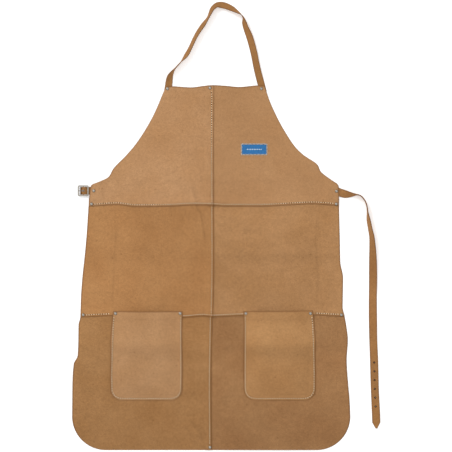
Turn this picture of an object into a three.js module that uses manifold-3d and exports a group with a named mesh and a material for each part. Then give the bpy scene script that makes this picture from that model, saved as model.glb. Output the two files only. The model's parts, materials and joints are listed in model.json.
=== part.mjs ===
// Leather welding apron: a bib, a body and a skirt of lapped hide panels, two patch pockets,
// a neck strap, and a waist strap that closes in a square buckle.
// It lies on its back. +Z is its front, +Y runs towards the neck, and the origin is on the
// back face where the centre seam crosses the waist seam. All sizes are in millimetres.

import * as THREE from "three";
import { mergeVertices } from "three/addons/utils/BufferGeometryUtils.js";
import Module from "manifold-3d";

const wasm = await Module();
wasm.setup();

// Body of the apron.
const bodyWidth = 695;
const bibHeight = 300; // waist seam to the top edge
const middleHeight = 277; // waist seam down to the skirt seam
const skirtHeight = 333; // skirt seam down to the hem
const hemCorner = 84; // radius of the skirt's lower corners
const foldHeight = 72; // height above the waist seam at which the bib turns down
const hide = 1.4; // leather of the panels and pockets
const gap = 0.3; // left between two pieces that touch
const seamLap = 15; // width of each lapped seam
const lapRamp = 6; // length over which a panel climbs onto the one below
const liftRamp = 8; // length over which the bib climbs onto a strap end

// Pockets, placed from the skirt seam and the centre seam.
const pocketWidth = 180;
const pocketRise = 14;
const pocketDrop = 208;
const pocketOffset = 166.5; // centre seam to the middle of a pocket
const pocketCorner = 28;
const pocketTaper = 8; // how far the outer side leans in at the top
const pocketTaperHeight = 72;
const pocketFlange = 10; // stitched border that lies flat
const pocketSlack = 9; // how far the pouch stands off the skirt

// Neck strap.
const neckWidth = 17.5;
const neckHide = 2;
const neckRivetInset = { left: 7, right: 10 }; // from the bib's side edges
const neckRivetDrop = 7; // from the bib's top edge
const neckTuck = 9; // strap end past the rivet

// Waist strap.
const strapWidth = 20;
const strapHide = 2.2;
const strapRivetInset = 6;
const strapRivetHeight = 37; // above the waist seam
const strapTuck = 11;
const strapHoleRadius = 1.8;
const strapHoles = 6;
const strapHolePitch = 22;
const strapFirstHole = 55; // from the tip
const strapPoint = 15; // length of the pointed tip
const strapTipWidth = 4;

// Buckle and its tab.
const tabWidth = 19;
const tabHide = 1.6;
const tabRivetInset = 9;
const tabRivetHeight = 38;
const tabTuck = 10;
const buckleSize = 27;
const buckleBar = 3.9;
const buckleReach = buckleSize / 2 + 12.8; // rivet to the centre bar
const buckleThick = 2.6;
const centreBarRadius = 1.3;
const chafeReach = buckleSize / 2 - buckleBar - 2; // leather behind the buckle, past its centre bar
const prongRadius = 1;
const prongEyeWidth = 2.4;
const prongSlot = 3.4;

// Rivets, thread and label.
const rivetCapRadius = 3.7;
const rivetCapHeight = 1.7;
const rivetPostRadius = 1.4;
const rivetBackHeight = 0.7;
const rivetSides = 12;
const seamRivetInset = 7;
const seamRivetRise = 5;
const pocketRivetInset = 5.5;
const threadWidth = 0.9;
const threadHeight = 0.45;
const threadInset = 5; // from the edge that the row holds down
const labelWidth = 65.5;
const labelHeight = 28.5;
const labelThick = 0.6;
const labelCorner = 3.5;
const labelX = 103;
const labelY = 141.5; // middle of the label above the waist seam

// Heights of the seams and edges.
const waistY = 0;
const skirtSeamY = -middleHeight;
const hemY = skirtSeamY - skirtHeight;
const step = hide + gap; // rise of one lapped layer

// The cut edge on each side: [share of the row's height, distance from the centre seam].
const patternWidth = 695;
const sideEdges = {
  left: {
    skirt: [[0.51, 351], [0.645, 348], [0.71, 338], [0.81, 336.5], [0.937, 336], [1, 331.5]],
    middle: [[0.17, 330], [0.35, 326.5], [0.57, 320], [0.774, 315], [1, 311]],
    bib: [[0.087, 309], [0.175, 304], [0.203, 282.5], [0.24, 261], [0.31, 249], [0.418, 218],
      [0.503, 196], [0.627, 170.5], [0.783, 145], [1, 118]],
  },
  right: {
    skirt: [[0.384, 341], [0.5, 337.5], [0.676, 334], [0.826, 337], [0.944, 332.5], [1, 329]],
    middle: [[0.08, 324], [0.35, 325], [0.498, 318], [0.664, 317], [1, 315]],
    bib: [[0.137, 314.5], [0.173, 313], [0.217, 295], [0.29, 268.5], [0.34, 262], [0.427, 225.5],
      [0.49, 206], [0.605, 182.5], [0.72, 163], [0.877, 141.5], [1, 128.5]],
  },
};
const sideSign = { left: -1, right: 1 };
const hemHalfWidth = { left: 352, right: 343 };

const materials = {
  bib: { color: 0xb78f63, roughness: 0.95, metalness: 0 },
  middle: { color: 0xab7f50, roughness: 0.95, metalness: 0 },
  skirt: { color: 0x9c774e, roughness: 0.95, metalness: 0 },
  pocket: { color: 0xb28a63, roughness: 0.95, metalness: 0 },
  strap: { color: 0x9a7148, roughness: 0.9, metalness: 0 },
  nickel: { color: 0xc9c4bd, roughness: 0.3, metalness: 1 },
  thread: { color: 0xd8b98f, roughness: 0.9, metalness: 0 },
  label: { color: 0x1b6fae, roughness: 0.6, metalness: 0 },
};

const apron = new THREE.Group();
const leatherParts = [];

// ---- Helpers ----

const widthScale = bodyWidth / patternWidth;

/** 0 up to start, 1 from end on, and straight between them. */
function ramp(value, start, end) {
  return THREE.MathUtils.clamp((value - start) / (end - start), 0, 1);
}

/** 1 between low and high, falling to 0 over the given length on either side. */
function plateau(value, low, high, fall) {
  return ramp(value, low - fall, low) * (1 - ramp(value, high, high + fall));
}

/** The edge points of one side from the corner at the hem up to the top. */
function edgePoints(side) {
  const rows = [
    ["skirt", hemY, skirtHeight],
    ["middle", skirtSeamY, middleHeight],
    ["bib", waistY, bibHeight],
  ];
  return rows.flatMap(([row, bottom, height]) =>
    sideEdges[side][row].map(([share, distance]) =>
      new THREE.Vector2(sideSign[side] * distance * widthScale, bottom + share * height)));
}

/** Distance from the centre seam to the cut edge at a height. */
function edgeAt(side, y) {
  const points = edgePoints(side);
  const next = points.findIndex((point) => point.y >= y);
  const above = points[next];
  const below = points[next - 1];
  const share = (y - below.y) / (above.y - below.y);
  return Math.abs(THREE.MathUtils.lerp(below.x, above.x, share));
}

/** A closed geometry as a solid that can be joined and cut. */
function solidOf(geometry) {
  const bare = geometry.index ? geometry.toNonIndexed() : geometry.clone();
  bare.deleteAttribute("normal");
  bare.deleteAttribute("uv");
  const merged = mergeVertices(bare, 1e-4);
  return new wasm.Manifold(new wasm.Mesh({
    numProp: 3,
    vertProperties: merged.attributes.position.array,
    triVerts: new Uint32Array(merged.index.array),
  }));
}

function geometryOf(solid) {
  const mesh = solid.getMesh();
  const geometry = new THREE.BufferGeometry();
  geometry.setAttribute("position", new THREE.BufferAttribute(mesh.vertProperties, 3));
  geometry.setIndex(new THREE.BufferAttribute(mesh.triVerts, 1));
  geometry.computeVertexNormals();
  return geometry;
}

function addPart(name, geometry, material) {
  const mesh = new THREE.Mesh(geometry, new THREE.MeshStandardMaterial(materials[material]));
  mesh.name = name;
  apron.add(mesh);
}

/** Leather is kept until the rivet holes are known. */
function addLeather(name, solid, material) {
  leatherParts.push({ name, solid, material });
}

function closedGeometry(vertices, triangles) {
  const geometry = new THREE.BufferGeometry();
  geometry.setAttribute("position", new THREE.Float32BufferAttribute(vertices, 3));
  geometry.setIndex(triangles);
  return geometry;
}

/** Sorted lines with near doubles left out. */
function lines(...values) {
  const closest = 0.4;
  return values.flat().sort((a, b) => a - b).filter((v, i, all) => i === 0 || v - all[i - 1] > closest);
}

/** Even lines from one value to another, both included. */
function spread(from, to, count) {
  return Array.from({ length: count + 1 }, (_, i) => from + ((to - from) * i) / count);
}

/** A sheet of even thickness over a grid of lines, whose underside is at bottomAt(x, y). */
function gridSheet(xLines, yLines, bottomAt, thickness) {
  const vertices = [];
  const triangles = [];
  const across = xLines.length;
  const layer = across * yLines.length;
  for (const lift of [0, thickness])
    for (const y of yLines)
      for (const x of xLines) vertices.push(x, y, bottomAt(x, y) + lift);
  const quad = (a, b, c, d) => triangles.push(a, b, c, a, c, d);
  for (let j = 0; j < yLines.length - 1; j++)
    for (let i = 0; i < across - 1; i++) {
      const a = j * across + i;
      const b = a + across;
      quad(a, b, b + 1, a + 1);
      quad(a + layer, a + 1 + layer, b + 1 + layer, b + layer);
    }
  const lastRow = layer - across;
  for (let i = 0; i < across - 1; i++) {
    quad(i, i + 1, i + 1 + layer, i + layer);
    quad(lastRow + i + 1, lastRow + i, lastRow + i + layer, lastRow + i + 1 + layer);
  }
  for (let j = 0; j < yLines.length - 1; j++) {
    const a = j * across;
    const b = a + across;
    quad(b, a, a + layer, b + layer);
    quad(a + across - 1, b + across - 1, b + across - 1 + layer, a + across - 1 + layer);
  }
  return closedGeometry(vertices, triangles);
}

/** A ribbon through sections of {centre, side, up}, the half vectors of each cross-section. */
function ribbon(sections) {
  const vertices = [];
  const triangles = [];
  for (const { centre, side, up } of sections)
    for (const [s, u] of [[-1, -1], [1, -1], [1, 1], [-1, 1]])
      vertices.push(...centre.clone().addScaledVector(side, s).addScaledVector(up, u).toArray());
  for (let i = 0; i < sections.length - 1; i++)
    for (let k = 0; k < 4; k++) {
      const a = 4 * i + k;
      const b = 4 * i + ((k + 1) % 4);
      triangles.push(a, b, b + 4, a, b + 4, a + 4);
    }
  const end = 4 * (sections.length - 1);
  triangles.push(0, 2, 1, 0, 3, 2, end, end + 1, end + 2, end, end + 2, end + 3);
  return closedGeometry(vertices, triangles);
}

function cylinder(x, y, radius, bottom, top, sides) {
  const geometry = new THREE.CylinderGeometry(radius, radius, top - bottom, sides);
  geometry.rotateX(Math.PI / 2);
  return geometry.translate(x, y, (top + bottom) / 2);
}

function roundedRectangle(width, height, radius, topRadius = radius) {
  const [x, y] = [width / 2, height / 2];
  const shape = new THREE.Shape();
  shape.moveTo(-x + radius, -y);
  shape.lineTo(x - radius, -y);
  shape.absarc(x - radius, -y + radius, radius, -Math.PI / 2, 0, false);
  shape.lineTo(x, y - topRadius);
  if (topRadius) shape.absarc(x - topRadius, y - topRadius, topRadius, 0, Math.PI / 2, false);
  shape.lineTo(-x + topRadius, y);
  if (topRadius) shape.absarc(-x + topRadius, y - topRadius, topRadius, Math.PI / 2, Math.PI, false);
  shape.lineTo(-x, -y + radius);
  shape.absarc(-x + radius, -y + radius, radius, Math.PI, 1.5 * Math.PI, false);
  return shape;
}

// ---- Where the rivets of the straps go, and how far they lift the bib ----

const neckRivetY = bibHeight - neckRivetDrop;
const neckRivetX = {
  left: -(edgeAt("left", neckRivetY) - neckRivetInset.left),
  right: edgeAt("right", neckRivetY) - neckRivetInset.right,
};
const strapRivetX = edgeAt("right", strapRivetHeight) - strapRivetInset;
const tabRivetX = -(edgeAt("left", tabRivetHeight) - tabRivetInset);
const tabStack = 2 * tabHide + gap; // the tab's two plies, one on the other

const beyondEdge = 40; // far enough to pass the cut edge
const lifts = {
  left: [
    { x: [tabRivetX - beyondEdge, tabRivetX + tabTuck + 7], y: [20, 58], height: tabStack + gap },
    { x: [neckRivetX.left - beyondEdge, neckRivetX.left + 15], y: [bibHeight - 24, bibHeight + beyondEdge],
      height: neckHide + gap },
  ],
  right: [
    { x: [strapRivetX - strapTuck - 9, strapRivetX + beyondEdge], y: [18, 62], height: strapHide + gap },
    { x: [neckRivetX.right - 15, neckRivetX.right + beyondEdge], y: [bibHeight - 24, bibHeight + beyondEdge],
      height: neckHide + gap },
  ],
};

function liftAt(side, x, y) {
  return lifts[side].reduce((sum, lift) =>
    sum + lift.height * plateau(x, ...lift.x, liftRamp) * plateau(y, ...lift.y, liftRamp), 0);
}

/** Height of a panel's back face. A seam is where its lower edge laps over the panel below. */
function panelBottom(side, seam, x, y) {
  const lap = seam === null ? 0 : 1 - ramp(y, seam + seamLap, seam + seamLap + lapRamp);
  const lift = seam === waistY ? liftAt(side, x, y) : 0;
  if (side === "right") return lap * step * (2 - ramp(x, 0, lapRamp)) + lift;
  const over = ramp(x, -seamLap - lapRamp, -seamLap);
  return lap * step * (1 + over) + step * over + lift;
}

// ---- Panels ----

/** The outline of the whole apron, laid flat. */
function silhouette() {
  const shape = new THREE.Shape();
  const right = hemHalfWidth.right * widthScale;
  const left = hemHalfWidth.left * widthScale;
  shape.moveTo(-left + hemCorner, hemY);
  shape.lineTo(right - hemCorner, hemY);
  shape.absarc(right - hemCorner, hemY + hemCorner, hemCorner, -Math.PI / 2, 0, false);
  for (const point of edgePoints("right")) shape.lineTo(point.x, point.y);
  for (const point of edgePoints("left").reverse()) shape.lineTo(point.x, point.y);
  shape.lineTo(-left, hemY + hemCorner);
  shape.absarc(-left + hemCorner, hemY + hemCorner, hemCorner, Math.PI, 1.5 * Math.PI, false);
  return shape;
}

const outlineDepth = 60;
const outline = solidOf(new THREE.ExtrudeGeometry(silhouette(), {
  depth: outlineDepth, bevelEnabled: false, curveSegments: 10,
}).translate(0, 0, -outlineDepth / 2));

/** One hide panel between two heights, cut to the apron's outline. */
function panel(side, seam, low, high) {
  const past = bodyWidth / 2 + beyondEdge;
  const inner = side === "left" ? 0 : -seamLap;
  const xBreaks = side === "left" ? [-seamLap - lapRamp, -seamLap] : [0, lapRamp];
  const yBreaks = seam === null ? [] : [seam + seamLap, seam + seamLap + lapRamp];
  if (seam === waistY)
    for (const lift of lifts[side]) {
      xBreaks.push(lift.x[0] - liftRamp, lift.x[0], lift.x[1], lift.x[1] + liftRamp);
      yBreaks.push(lift.y[0] - liftRamp, lift.y[0], lift.y[1], lift.y[1] + liftRamp);
    }
  const within = (value, from, to) => value > from && value < to;
  const outer = sideSign[side] * past;
  const [from, to] = [Math.min(inner, outer), Math.max(inner, outer)];
  const xLines = lines(from, to, xBreaks.filter((x) => within(x, from, to)));
  const yLines = lines(low, high, yBreaks.filter((y) => within(y, low, high)));
  const sheet = gridSheet(xLines, yLines, (x, y) => panelBottom(side, seam, x, y), hide);
  return solidOf(sheet).intersect(outline);
}

for (const side of ["right", "left"]) {
  addLeather(`skirt_${side}`, panel(side, null, hemY - beyondEdge, skirtSeamY + seamLap), "skirt");
  addLeather(`middle_${side}`, panel(side, skirtSeamY, skirtSeamY, waistY + seamLap), "middle");
  addLeather(`bib_${side}_waist`, panel(side, waistY, waistY, foldHeight - gap / 2), "bib");
  addLeather(`bib_${side}`, panel(side, waistY, foldHeight + gap / 2, bibHeight + beyondEdge), "bib");
}

// ---- Pockets ----

const pocketTop = skirtSeamY + pocketRise;
const pocketBottom = skirtSeamY - pocketDrop;

/** How far a pocket's outer side leans in at a height. */
function pocketLean(y) {
  return pocketTaper * ramp(y, pocketTop - pocketTaperHeight, pocketTop);
}

/** Height of a pocket's stitched border, which climbs over the skirt seam. */
function pocketBase(y) {
  return step * (1 + ramp(y, skirtSeamY - lapRamp, skirtSeamY));
}

/** How full the pouch is at a distance outwards from its middle line and a height. */
function pocketFullness(outwards, y) {
  const lean = outwards > 0 ? pocketLean(y) : 0;
  const inFromSide = pocketWidth / 2 - lean - pocketFlange - Math.abs(outwards);
  const inFromBottom = y - pocketBottom - pocketFlange;
  const swell = (distance, reach) => Math.sin((ramp(distance, 0, reach) * Math.PI) / 2);
  return swell(inFromSide, 45) * swell(inFromBottom, 60);
}

const pocketColumns = [0, pocketTaper, 20, 32, 45];
const pocketRows = [0, 20, 40, 60];

/** A pocket's outline about its middle line: rounded below, and narrower at its mouth. */
function pocketOutline(side) {
  const half = pocketWidth / 2;
  const turnY = pocketBottom + pocketCorner;
  const turnX = half - pocketCorner;
  const lean = { left: side === "left" ? pocketTaper : 0, right: side === "right" ? pocketTaper : 0 };
  const shape = new THREE.Shape();
  shape.moveTo(-turnX, pocketBottom);
  shape.lineTo(turnX, pocketBottom);
  shape.absarc(turnX, turnY, pocketCorner, -Math.PI / 2, 0, false);
  shape.lineTo(half, pocketTop - pocketTaperHeight);
  shape.lineTo(half - lean.right, pocketTop);
  shape.lineTo(-half + lean.left, pocketTop);
  shape.lineTo(-half, pocketTop - pocketTaperHeight);
  shape.lineTo(-half, turnY);
  shape.absarc(-turnX, turnY, pocketCorner, Math.PI, 1.5 * Math.PI, false);
  return shape;
}

function pocket(side) {
  const middle = sideSign[side] * pocketOffset;
  const half = pocketWidth / 2;
  const columns = pocketColumns.map((distance) => half - pocketFlange - distance);
  const xLines = lines(-half - 2, half + 2, columns, columns.map((x) => -x)).map((x) => middle + x);
  const rows = pocketRows.map((distance) => pocketBottom + pocketFlange + distance);
  const yLines = lines(pocketBottom - 2, rows, skirtSeamY - lapRamp, skirtSeamY, pocketTop + 2);
  const bottomAt = (x, y) => pocketBase(y) + pocketSlack * pocketFullness(sideSign[side] * (x - middle), y);
  const cutter = new THREE.ExtrudeGeometry(pocketOutline(side), {
    depth: outlineDepth, bevelEnabled: false, curveSegments: 6,
  });
  cutter.translate(middle, 0, -outlineDepth / 2);
  return solidOf(gridSheet(xLines, yLines, bottomAt, hide)).intersect(solidOf(cutter));
}

for (const side of ["left", "right"]) addLeather(`pocket_${side}`, pocket(side), "pocket");

// ---- Straps ----

const up = new THREE.Vector3(0, 0, 1);

/**
 * Cross-sections of a strap along a route of {point, roll}, resting its lower edge on the table.
 * A place with a line is cut along that line, and one with a share is that much of the thickness.
 */
function strapSections(route, width, thickness, widthAt = () => 1) {
  return route.map(({ point, roll, line, share = 1 }, i) => {
    const before = route[Math.max(i - 1, 0)].point;
    const after = route[Math.min(i + 1, route.length - 1)].point;
    const along = after.clone().sub(before).normalize();
    const square = new THREE.Vector3().crossVectors(up, along);
    const slant = line ? square.dot(line) : 1;
    const level = line ? line.clone().divideScalar(slant) : square;
    const turn = THREE.MathUtils.degToRad(roll);
    const halfWidth = (width / 2) * widthAt(i);
    const halfThickness = (thickness / 2) * share;
    const side = level.clone().multiplyScalar(Math.cos(turn)).addScaledVector(up, Math.sin(turn));
    const normal = new THREE.Vector3().crossVectors(along, square)
      .multiplyScalar(Math.cos(turn)).addScaledVector(square, -Math.sin(turn));
    const rest = halfWidth * Math.abs(Math.sin(turn)) + (thickness / 2) * Math.abs(Math.cos(turn));
    return {
      centre: new THREE.Vector3(point.x, point.y, rest),
      side: side.multiplyScalar(halfWidth),
      up: normal.multiplyScalar(halfThickness),
    };
  });
}

/** A smooth route through [x, y, roll] points, with samples between each pair. */
function smoothRoute(points, samples) {
  const curve = new THREE.CatmullRomCurve3(points.map(([x, y, roll]) => new THREE.Vector3(x, y, roll)));
  return curve.getPoints((points.length - 1) * samples).map((found) => ({
    point: new THREE.Vector3(found.x, found.y, 0),
    roll: found.z,
  }));
}

/** Puts a half-round nose, along the fold line, on the start of a route. */
function nosed(route, thickness, line) {
  const start = route[0].point;
  const back = start.clone().sub(route[1].point).normalize();
  const square = Math.abs(new THREE.Vector3().crossVectors(back, line).z);
  const nose = [0.98, 0.75, 0].map((reach) => ({
    point: start.clone().addScaledVector(back, (reach * thickness) / 2 / square),
    roll: route[0].roll,
    share: Math.sqrt(1 - reach * reach),
    line,
  }));
  return [...nose, ...route.slice(1)];
}

/** The riveted end of a strap: flat, from past the rivet to a nose that faces the fold line. */
function strapEnd(rivet, fold, line, tuck, width, thickness) {
  const along = fold.clone().sub(rivet).normalize();
  const square = Math.abs(new THREE.Vector3().crossVectors(along, line).z);
  const nose = fold.clone().addScaledVector(along, -(thickness + gap) / square);
  const tail = rivet.clone().addScaledVector(along, -tuck);
  const route = [nose, tail].map((point) => ({ point, roll: 0 }));
  return solidOf(ribbon(strapSections(nosed(route, thickness, line), width, thickness)));
}

// Neck strap: [share of the span between its rivets, height above the bib, roll in degrees].
const neckFoldRise = 2.3; // the fold line above the bib's top edge
const neckLoop = [
  [-0.487, neckFoldRise, 0], [-0.472, 22, 37], [-0.454, 31, 62], [-0.42, 42.5, 88], [-0.362, 57.5, 92],
  [-0.3, 76, 125], [-0.253, 96, 121], [-0.215, 115.5, 122], [-0.172, 134, 125], [-0.122, 151, 129],
  [-0.066, 170.5, 92], [-0.042, 182.5, 63], [-0.02, 193, 51], [0.028, 202, 90], [0.075, 202, 156],
  [0.115, 200, 155], [0.18, 193.5, 143], [0.24, 185, 117], [0.286, 177, 95], [0.308, 170, 85],
  [0.317, 159, 55], [0.333, 146.5, 44], [0.375, 122, 24], [0.417, 86.5, 19], [0.455, 43, 14],
  [0.5, neckFoldRise, 0],
];
const neckSpan = neckRivetX.right - neckRivetX.left;
const neckMiddle = (neckRivetX.right + neckRivetX.left) / 2;
const neckRoute = smoothRoute(
  neckLoop.map(([share, rise, roll]) => [neckMiddle + share * neckSpan, bibHeight + rise, roll]), 2);

const neckFoldLine = new THREE.Vector3(1, 0, 0);

function neckStrap() {
  const started = nosed(neckRoute, neckHide, neckFoldLine);
  const route = nosed(started.reverse(), neckHide, neckFoldLine);
  return solidOf(ribbon(strapSections(route, neckWidth, neckHide)));
}

/** An end of the neck strap, in line with the strap where it leaves the bib. */
function neckEnd(fold, next) {
  const along = fold.clone().sub(next).normalize();
  const inner = fold.clone().addScaledVector(along, (fold.y - neckRivetY) / Math.abs(along.y));
  return strapEnd(inner, fold, neckFoldLine, neckTuck, neckWidth, neckHide);
}

addLeather("neck_strap", neckStrap(), "strap");
addLeather("neck_strap_end_left", neckEnd(neckRoute[0].point, neckRoute[1].point), "strap");
addLeather("neck_strap_end_right", neckEnd(neckRoute.at(-1).point, neckRoute.at(-2).point), "strap");

// Waist strap: [across from its rivet, up from its rivet, roll in degrees].
const strapRivet = new THREE.Vector3(strapRivetX, strapRivetHeight, 0);
const strapRun = [
  [11, -4, 0], [18, -6.5, 12], [30, -8.5, 42], [42, -9, 70], [52, -9, 88], [59, -11, 90], [65, -16, 90],
  [70, -23, 90], [74, -32, 90], [76.5, -42, 90], [77.5, -53, 88], [79.5, -70, 70], [84, -94, 64],
  [88, -114, 56], [90, -142, 41], [91, -171, 24], [91.5, -222, 10], [91, -275, 0], [92, -368, 0],
  [94, -420, 0], [96, -495, 0], [99, -560, 0], [100, -593, 0],
];
const strapRoute = smoothRoute(strapRun.map(([x, y, roll]) => [strapRivet.x + x, strapRivet.y + y, roll]), 2);

/** Distance along a route from each of its samples to the last. */
function distanceToEnd(route) {
  const left = new Array(route.length).fill(0);
  for (let i = route.length - 2; i >= 0; i--)
    left[i] = left[i + 1] + route[i].point.distanceTo(route[i + 1].point);
  return left;
}

/** The place on a route at a distance from its end. */
function placeFromEnd(route, distance) {
  const left = distanceToEnd(route);
  const i = left.findIndex((value) => value <= distance);
  const share = (left[i - 1] - distance) / (left[i - 1] - left[i]);
  return route[i - 1].point.clone().lerp(route[i].point, share);
}

const strapFoldLine = new THREE.Vector3(0, 1, 0);

function waistStrap() {
  const beforePoint = placeFromEnd(strapRoute, strapPoint);
  const cut = distanceToEnd(strapRoute).findIndex((distance) => distance <= strapPoint);
  const shortened = [...strapRoute.slice(0, cut), { point: beforePoint, roll: 0 }, strapRoute.at(-1)];
  const route = nosed(shortened, strapHide, strapFoldLine);
  const widthAt = (i) => (i === route.length - 1 ? strapTipWidth / strapWidth : 1);
  let strap = solidOf(ribbon(strapSections(route, strapWidth, strapHide, widthAt)));
  for (let i = 0; i < strapHoles; i++) {
    const hole = placeFromEnd(strapRoute, strapFirstHole + i * strapHolePitch);
    strap = strap.subtract(solidOf(cylinder(hole.x, hole.y, strapHoleRadius, -1, strapHide + 1, 12)));
  }
  return strap;
}

addLeather("waist_strap", waistStrap(), "strap");
addLeather("waist_strap_end",
  strapEnd(strapRivet, strapRoute[0].point, strapFoldLine, strapTuck, strapWidth, strapHide), "strap");

// ---- Buckle, its prong and its tab ----

const buckleX = tabRivetX - buckleReach;
const loopInner = centreBarRadius + gap;
const buckleZ = tabStack + gap + buckleThick / 2; // the frame's near bar lies over the tab
const loopMiddle = loopInner + tabHide / 2;

/** The tab's middle line in section: along the table, round the centre bar and back. */
function tabLine() {
  const tuckEnd = buckleReach + tabTuck;
  const underBar = buckleSize / 2 - buckleBar - gap;
  const topPly = tabHide * 1.5 + gap;
  const points = [[tuckEnd, tabHide / 2], [underBar, tabHide / 2], [5, tabHide / 2]];
  for (let turn = -100; turn >= -300; turn -= 25) {
    const angle = THREE.MathUtils.degToRad(turn);
    points.push([loopMiddle * Math.cos(angle), buckleZ + loopMiddle * Math.sin(angle)]);
  }
  points.push([underBar - 2.2, topPly + 0.75], [underBar + 0.6, topPly], [tuckEnd, topPly]);
  return points.map(([x, z]) => new THREE.Vector2(x, z));
}

/** A strip of even thickness along a line in section. */
function strip(line, thickness) {
  const edge = (sign) => line.map((point, i) => {
    const before = line[Math.max(i - 1, 0)];
    const after = line[Math.min(i + 1, line.length - 1)];
    const along = after.clone().sub(before).normalize();
    return new THREE.Vector2(-along.y, along.x).multiplyScalar((sign * thickness) / 2).add(point);
  });
  return new THREE.Shape([...edge(1), ...edge(-1).reverse()]);
}

/** The folded tab, with its lower ply carried on behind the buckle as a chafe. */
function buckleTab() {
  const body = new THREE.ExtrudeGeometry(strip(tabLine(), tabHide), { depth: tabWidth, bevelEnabled: false });
  body.rotateX(Math.PI / 2);
  body.translate(buckleX, tabRivetHeight + tabWidth / 2, 0);
  const slotHeight = 2 * (loopMiddle + tabHide);
  const slot = new THREE.BoxGeometry(slotHeight, prongSlot, slotHeight);
  slot.translate(buckleX - 1, tabRivetHeight, tabHide + slotHeight / 2);
  const chafe = new THREE.BoxGeometry(chafeReach + 6, tabWidth, tabHide);
  chafe.translate(buckleX + (6 - chafeReach) / 2, tabRivetHeight, tabHide / 2);
  return solidOf(body).subtract(solidOf(slot)).add(solidOf(chafe));
}

function buckleFrame() {
  const outer = roundedRectangle(buckleSize, buckleSize, 3);
  const inside = buckleSize - 2 * buckleBar;
  outer.holes.push(roundedRectangle(inside, inside, 0.8));
  const ring = new THREE.ExtrudeGeometry(outer, {
    depth: buckleThick - 1, bevelEnabled: true, bevelSize: 0.5, bevelThickness: 0.5, bevelOffset: -0.5,
    bevelSegments: 1, curveSegments: 3,
  });
  ring.translate(buckleX, tabRivetHeight, buckleZ - (buckleThick - 1) / 2);
  const bar = new THREE.CylinderGeometry(centreBarRadius, centreBarRadius, inside + buckleBar, 12);
  bar.translate(buckleX, tabRivetHeight, buckleZ);
  return solidOf(ring).add(solidOf(bar));
}

/** The prong's eye turns on the centre bar, and its tip rests on the frame's far bar. */
function buckleProng() {
  const eyeInner = centreBarRadius + gap;
  const eyeOuter = eyeInner + 1.3;
  const half = prongEyeWidth / 2;
  const eyeProfile = [
    [eyeInner, -half], [eyeOuter, -half], [eyeOuter, half], [eyeInner, half], [eyeInner, -half],
  ];
  const eye = new THREE.LatheGeometry(eyeProfile.map(([x, y]) => new THREE.Vector2(x, y)), 14);
  const restZ = buckleThick / 2 + gap + prongRadius;
  const reach = buckleSize / 2 - 0.4;
  const from = new THREE.Vector3(-eyeOuter + 0.6, 0, 1.1);
  const bend = new THREE.Vector3(-eyeOuter - 2.6, 0, restZ);
  const path = new THREE.CatmullRomCurve3([from, bend, new THREE.Vector3(-reach, 0, restZ)]);
  const section = new THREE.Shape().absarc(0, 0, prongRadius, 0, 2 * Math.PI, false);
  const shank = new THREE.ExtrudeGeometry(section, { steps: 6, extrudePath: path, curveSegments: 4 });
  return solidOf(eye).add(solidOf(shank)).translate([buckleX, tabRivetHeight, buckleZ]);
}

addLeather("buckle_tab", buckleTab(), "strap");
addPart("buckle_frame", geometryOf(buckleFrame()), "nickel");
addPart("buckle_prong", geometryOf(buckleProng()), "nickel");

// ---- Rivets ----

/** Top face of the leather that a rivet's cap sits on. */
function rivetSites() {
  const sites = [];
  const onPanel = (name, side, seam, x, y) =>
    sites.push({ name, x, y, top: panelBottom(side, seam, x, y) + hide });
  for (const side of ["left", "right"]) {
    const sign = sideSign[side];
    const waist = waistY + seamRivetRise;
    const skirt = skirtSeamY + seamRivetRise;
    onPanel(`waist_seam_${side}`, side, waistY, sign * (edgeAt(side, waist) - seamRivetInset), waist);
    onPanel(`skirt_seam_${side}`, side, skirtSeamY, sign * (edgeAt(side, skirt) - seamRivetInset), skirt);
    onPanel(`neck_${side}`, side, waistY, neckRivetX[side], neckRivetY);
    for (const end of ["inner", "outer"]) {
      const y = pocketTop - pocketRivetInset;
      const inset = pocketWidth / 2 - pocketRivetInset;
      const across = end === "outer" ? inset - pocketLean(y) : -inset;
      const x = sign * (pocketOffset + across);
      sites.push({ name: `pocket_${side}_${end}`, x, y, top: pocketBase(y) + hide });
    }
  }
  onPanel("waist_strap", "right", waistY, strapRivetX, strapRivetHeight);
  onPanel("buckle_tab", "left", waistY, tabRivetX, tabRivetHeight);
  onPanel("bib_top", "left", waistY, -seamLap / 2, bibHeight - threadInset);
  onPanel("hem", "left", null, -seamLap / 2, hemY + seamRivetRise + 2);
  return sites;
}

const rivets = rivetSites();
const backSeat = rivetBackHeight + gap; // depth of the hollow that takes the rivet's back

function rivetCap({ x, y, top }) {
  const seat = top + gap;
  const profile = [[0, rivetBackHeight + gap], [rivetPostRadius, rivetBackHeight + gap], [rivetPostRadius, seat],
    [rivetCapRadius - 0.3, seat], [rivetCapRadius, seat + 0.35], [rivetCapRadius * 0.72, seat + rivetCapHeight * 0.8],
    [rivetCapRadius * 0.35, seat + rivetCapHeight * 0.97], [0, seat + rivetCapHeight]];
  const cap = new THREE.LatheGeometry(profile.map(([r, z]) => new THREE.Vector2(r, z)), rivetSides);
  return cap.rotateX(Math.PI / 2).translate(x, y, 0);
}

const holes = rivets.map(({ x, y, top }) => ({
  x, y,
  solid: solidOf(cylinder(x, y, rivetPostRadius + gap, -1, top + 1, rivetSides))
    .add(solidOf(cylinder(x, y, rivetCapRadius + gap, -1, backSeat, rivetSides))),
}));

for (const { name, solid, material } of leatherParts) {
  const { min, max } = solid.boundingBox();
  const near = holes.filter(({ x, y }) =>
    x > min[0] - 5 && x < max[0] + 5 && y > min[1] - 5 && y < max[1] + 5);
  addPart(name, geometryOf(near.reduce((cut, hole) => cut.subtract(hole.solid), solid)), material);
}
for (const rivet of rivets) {
  addPart(`rivet_cap_${rivet.name}`, rivetCap(rivet), "nickel");
  addPart(`rivet_back_${rivet.name}`,
    cylinder(rivet.x, rivet.y, rivetCapRadius, 0, rivetBackHeight, rivetSides), "nickel");
}

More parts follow.
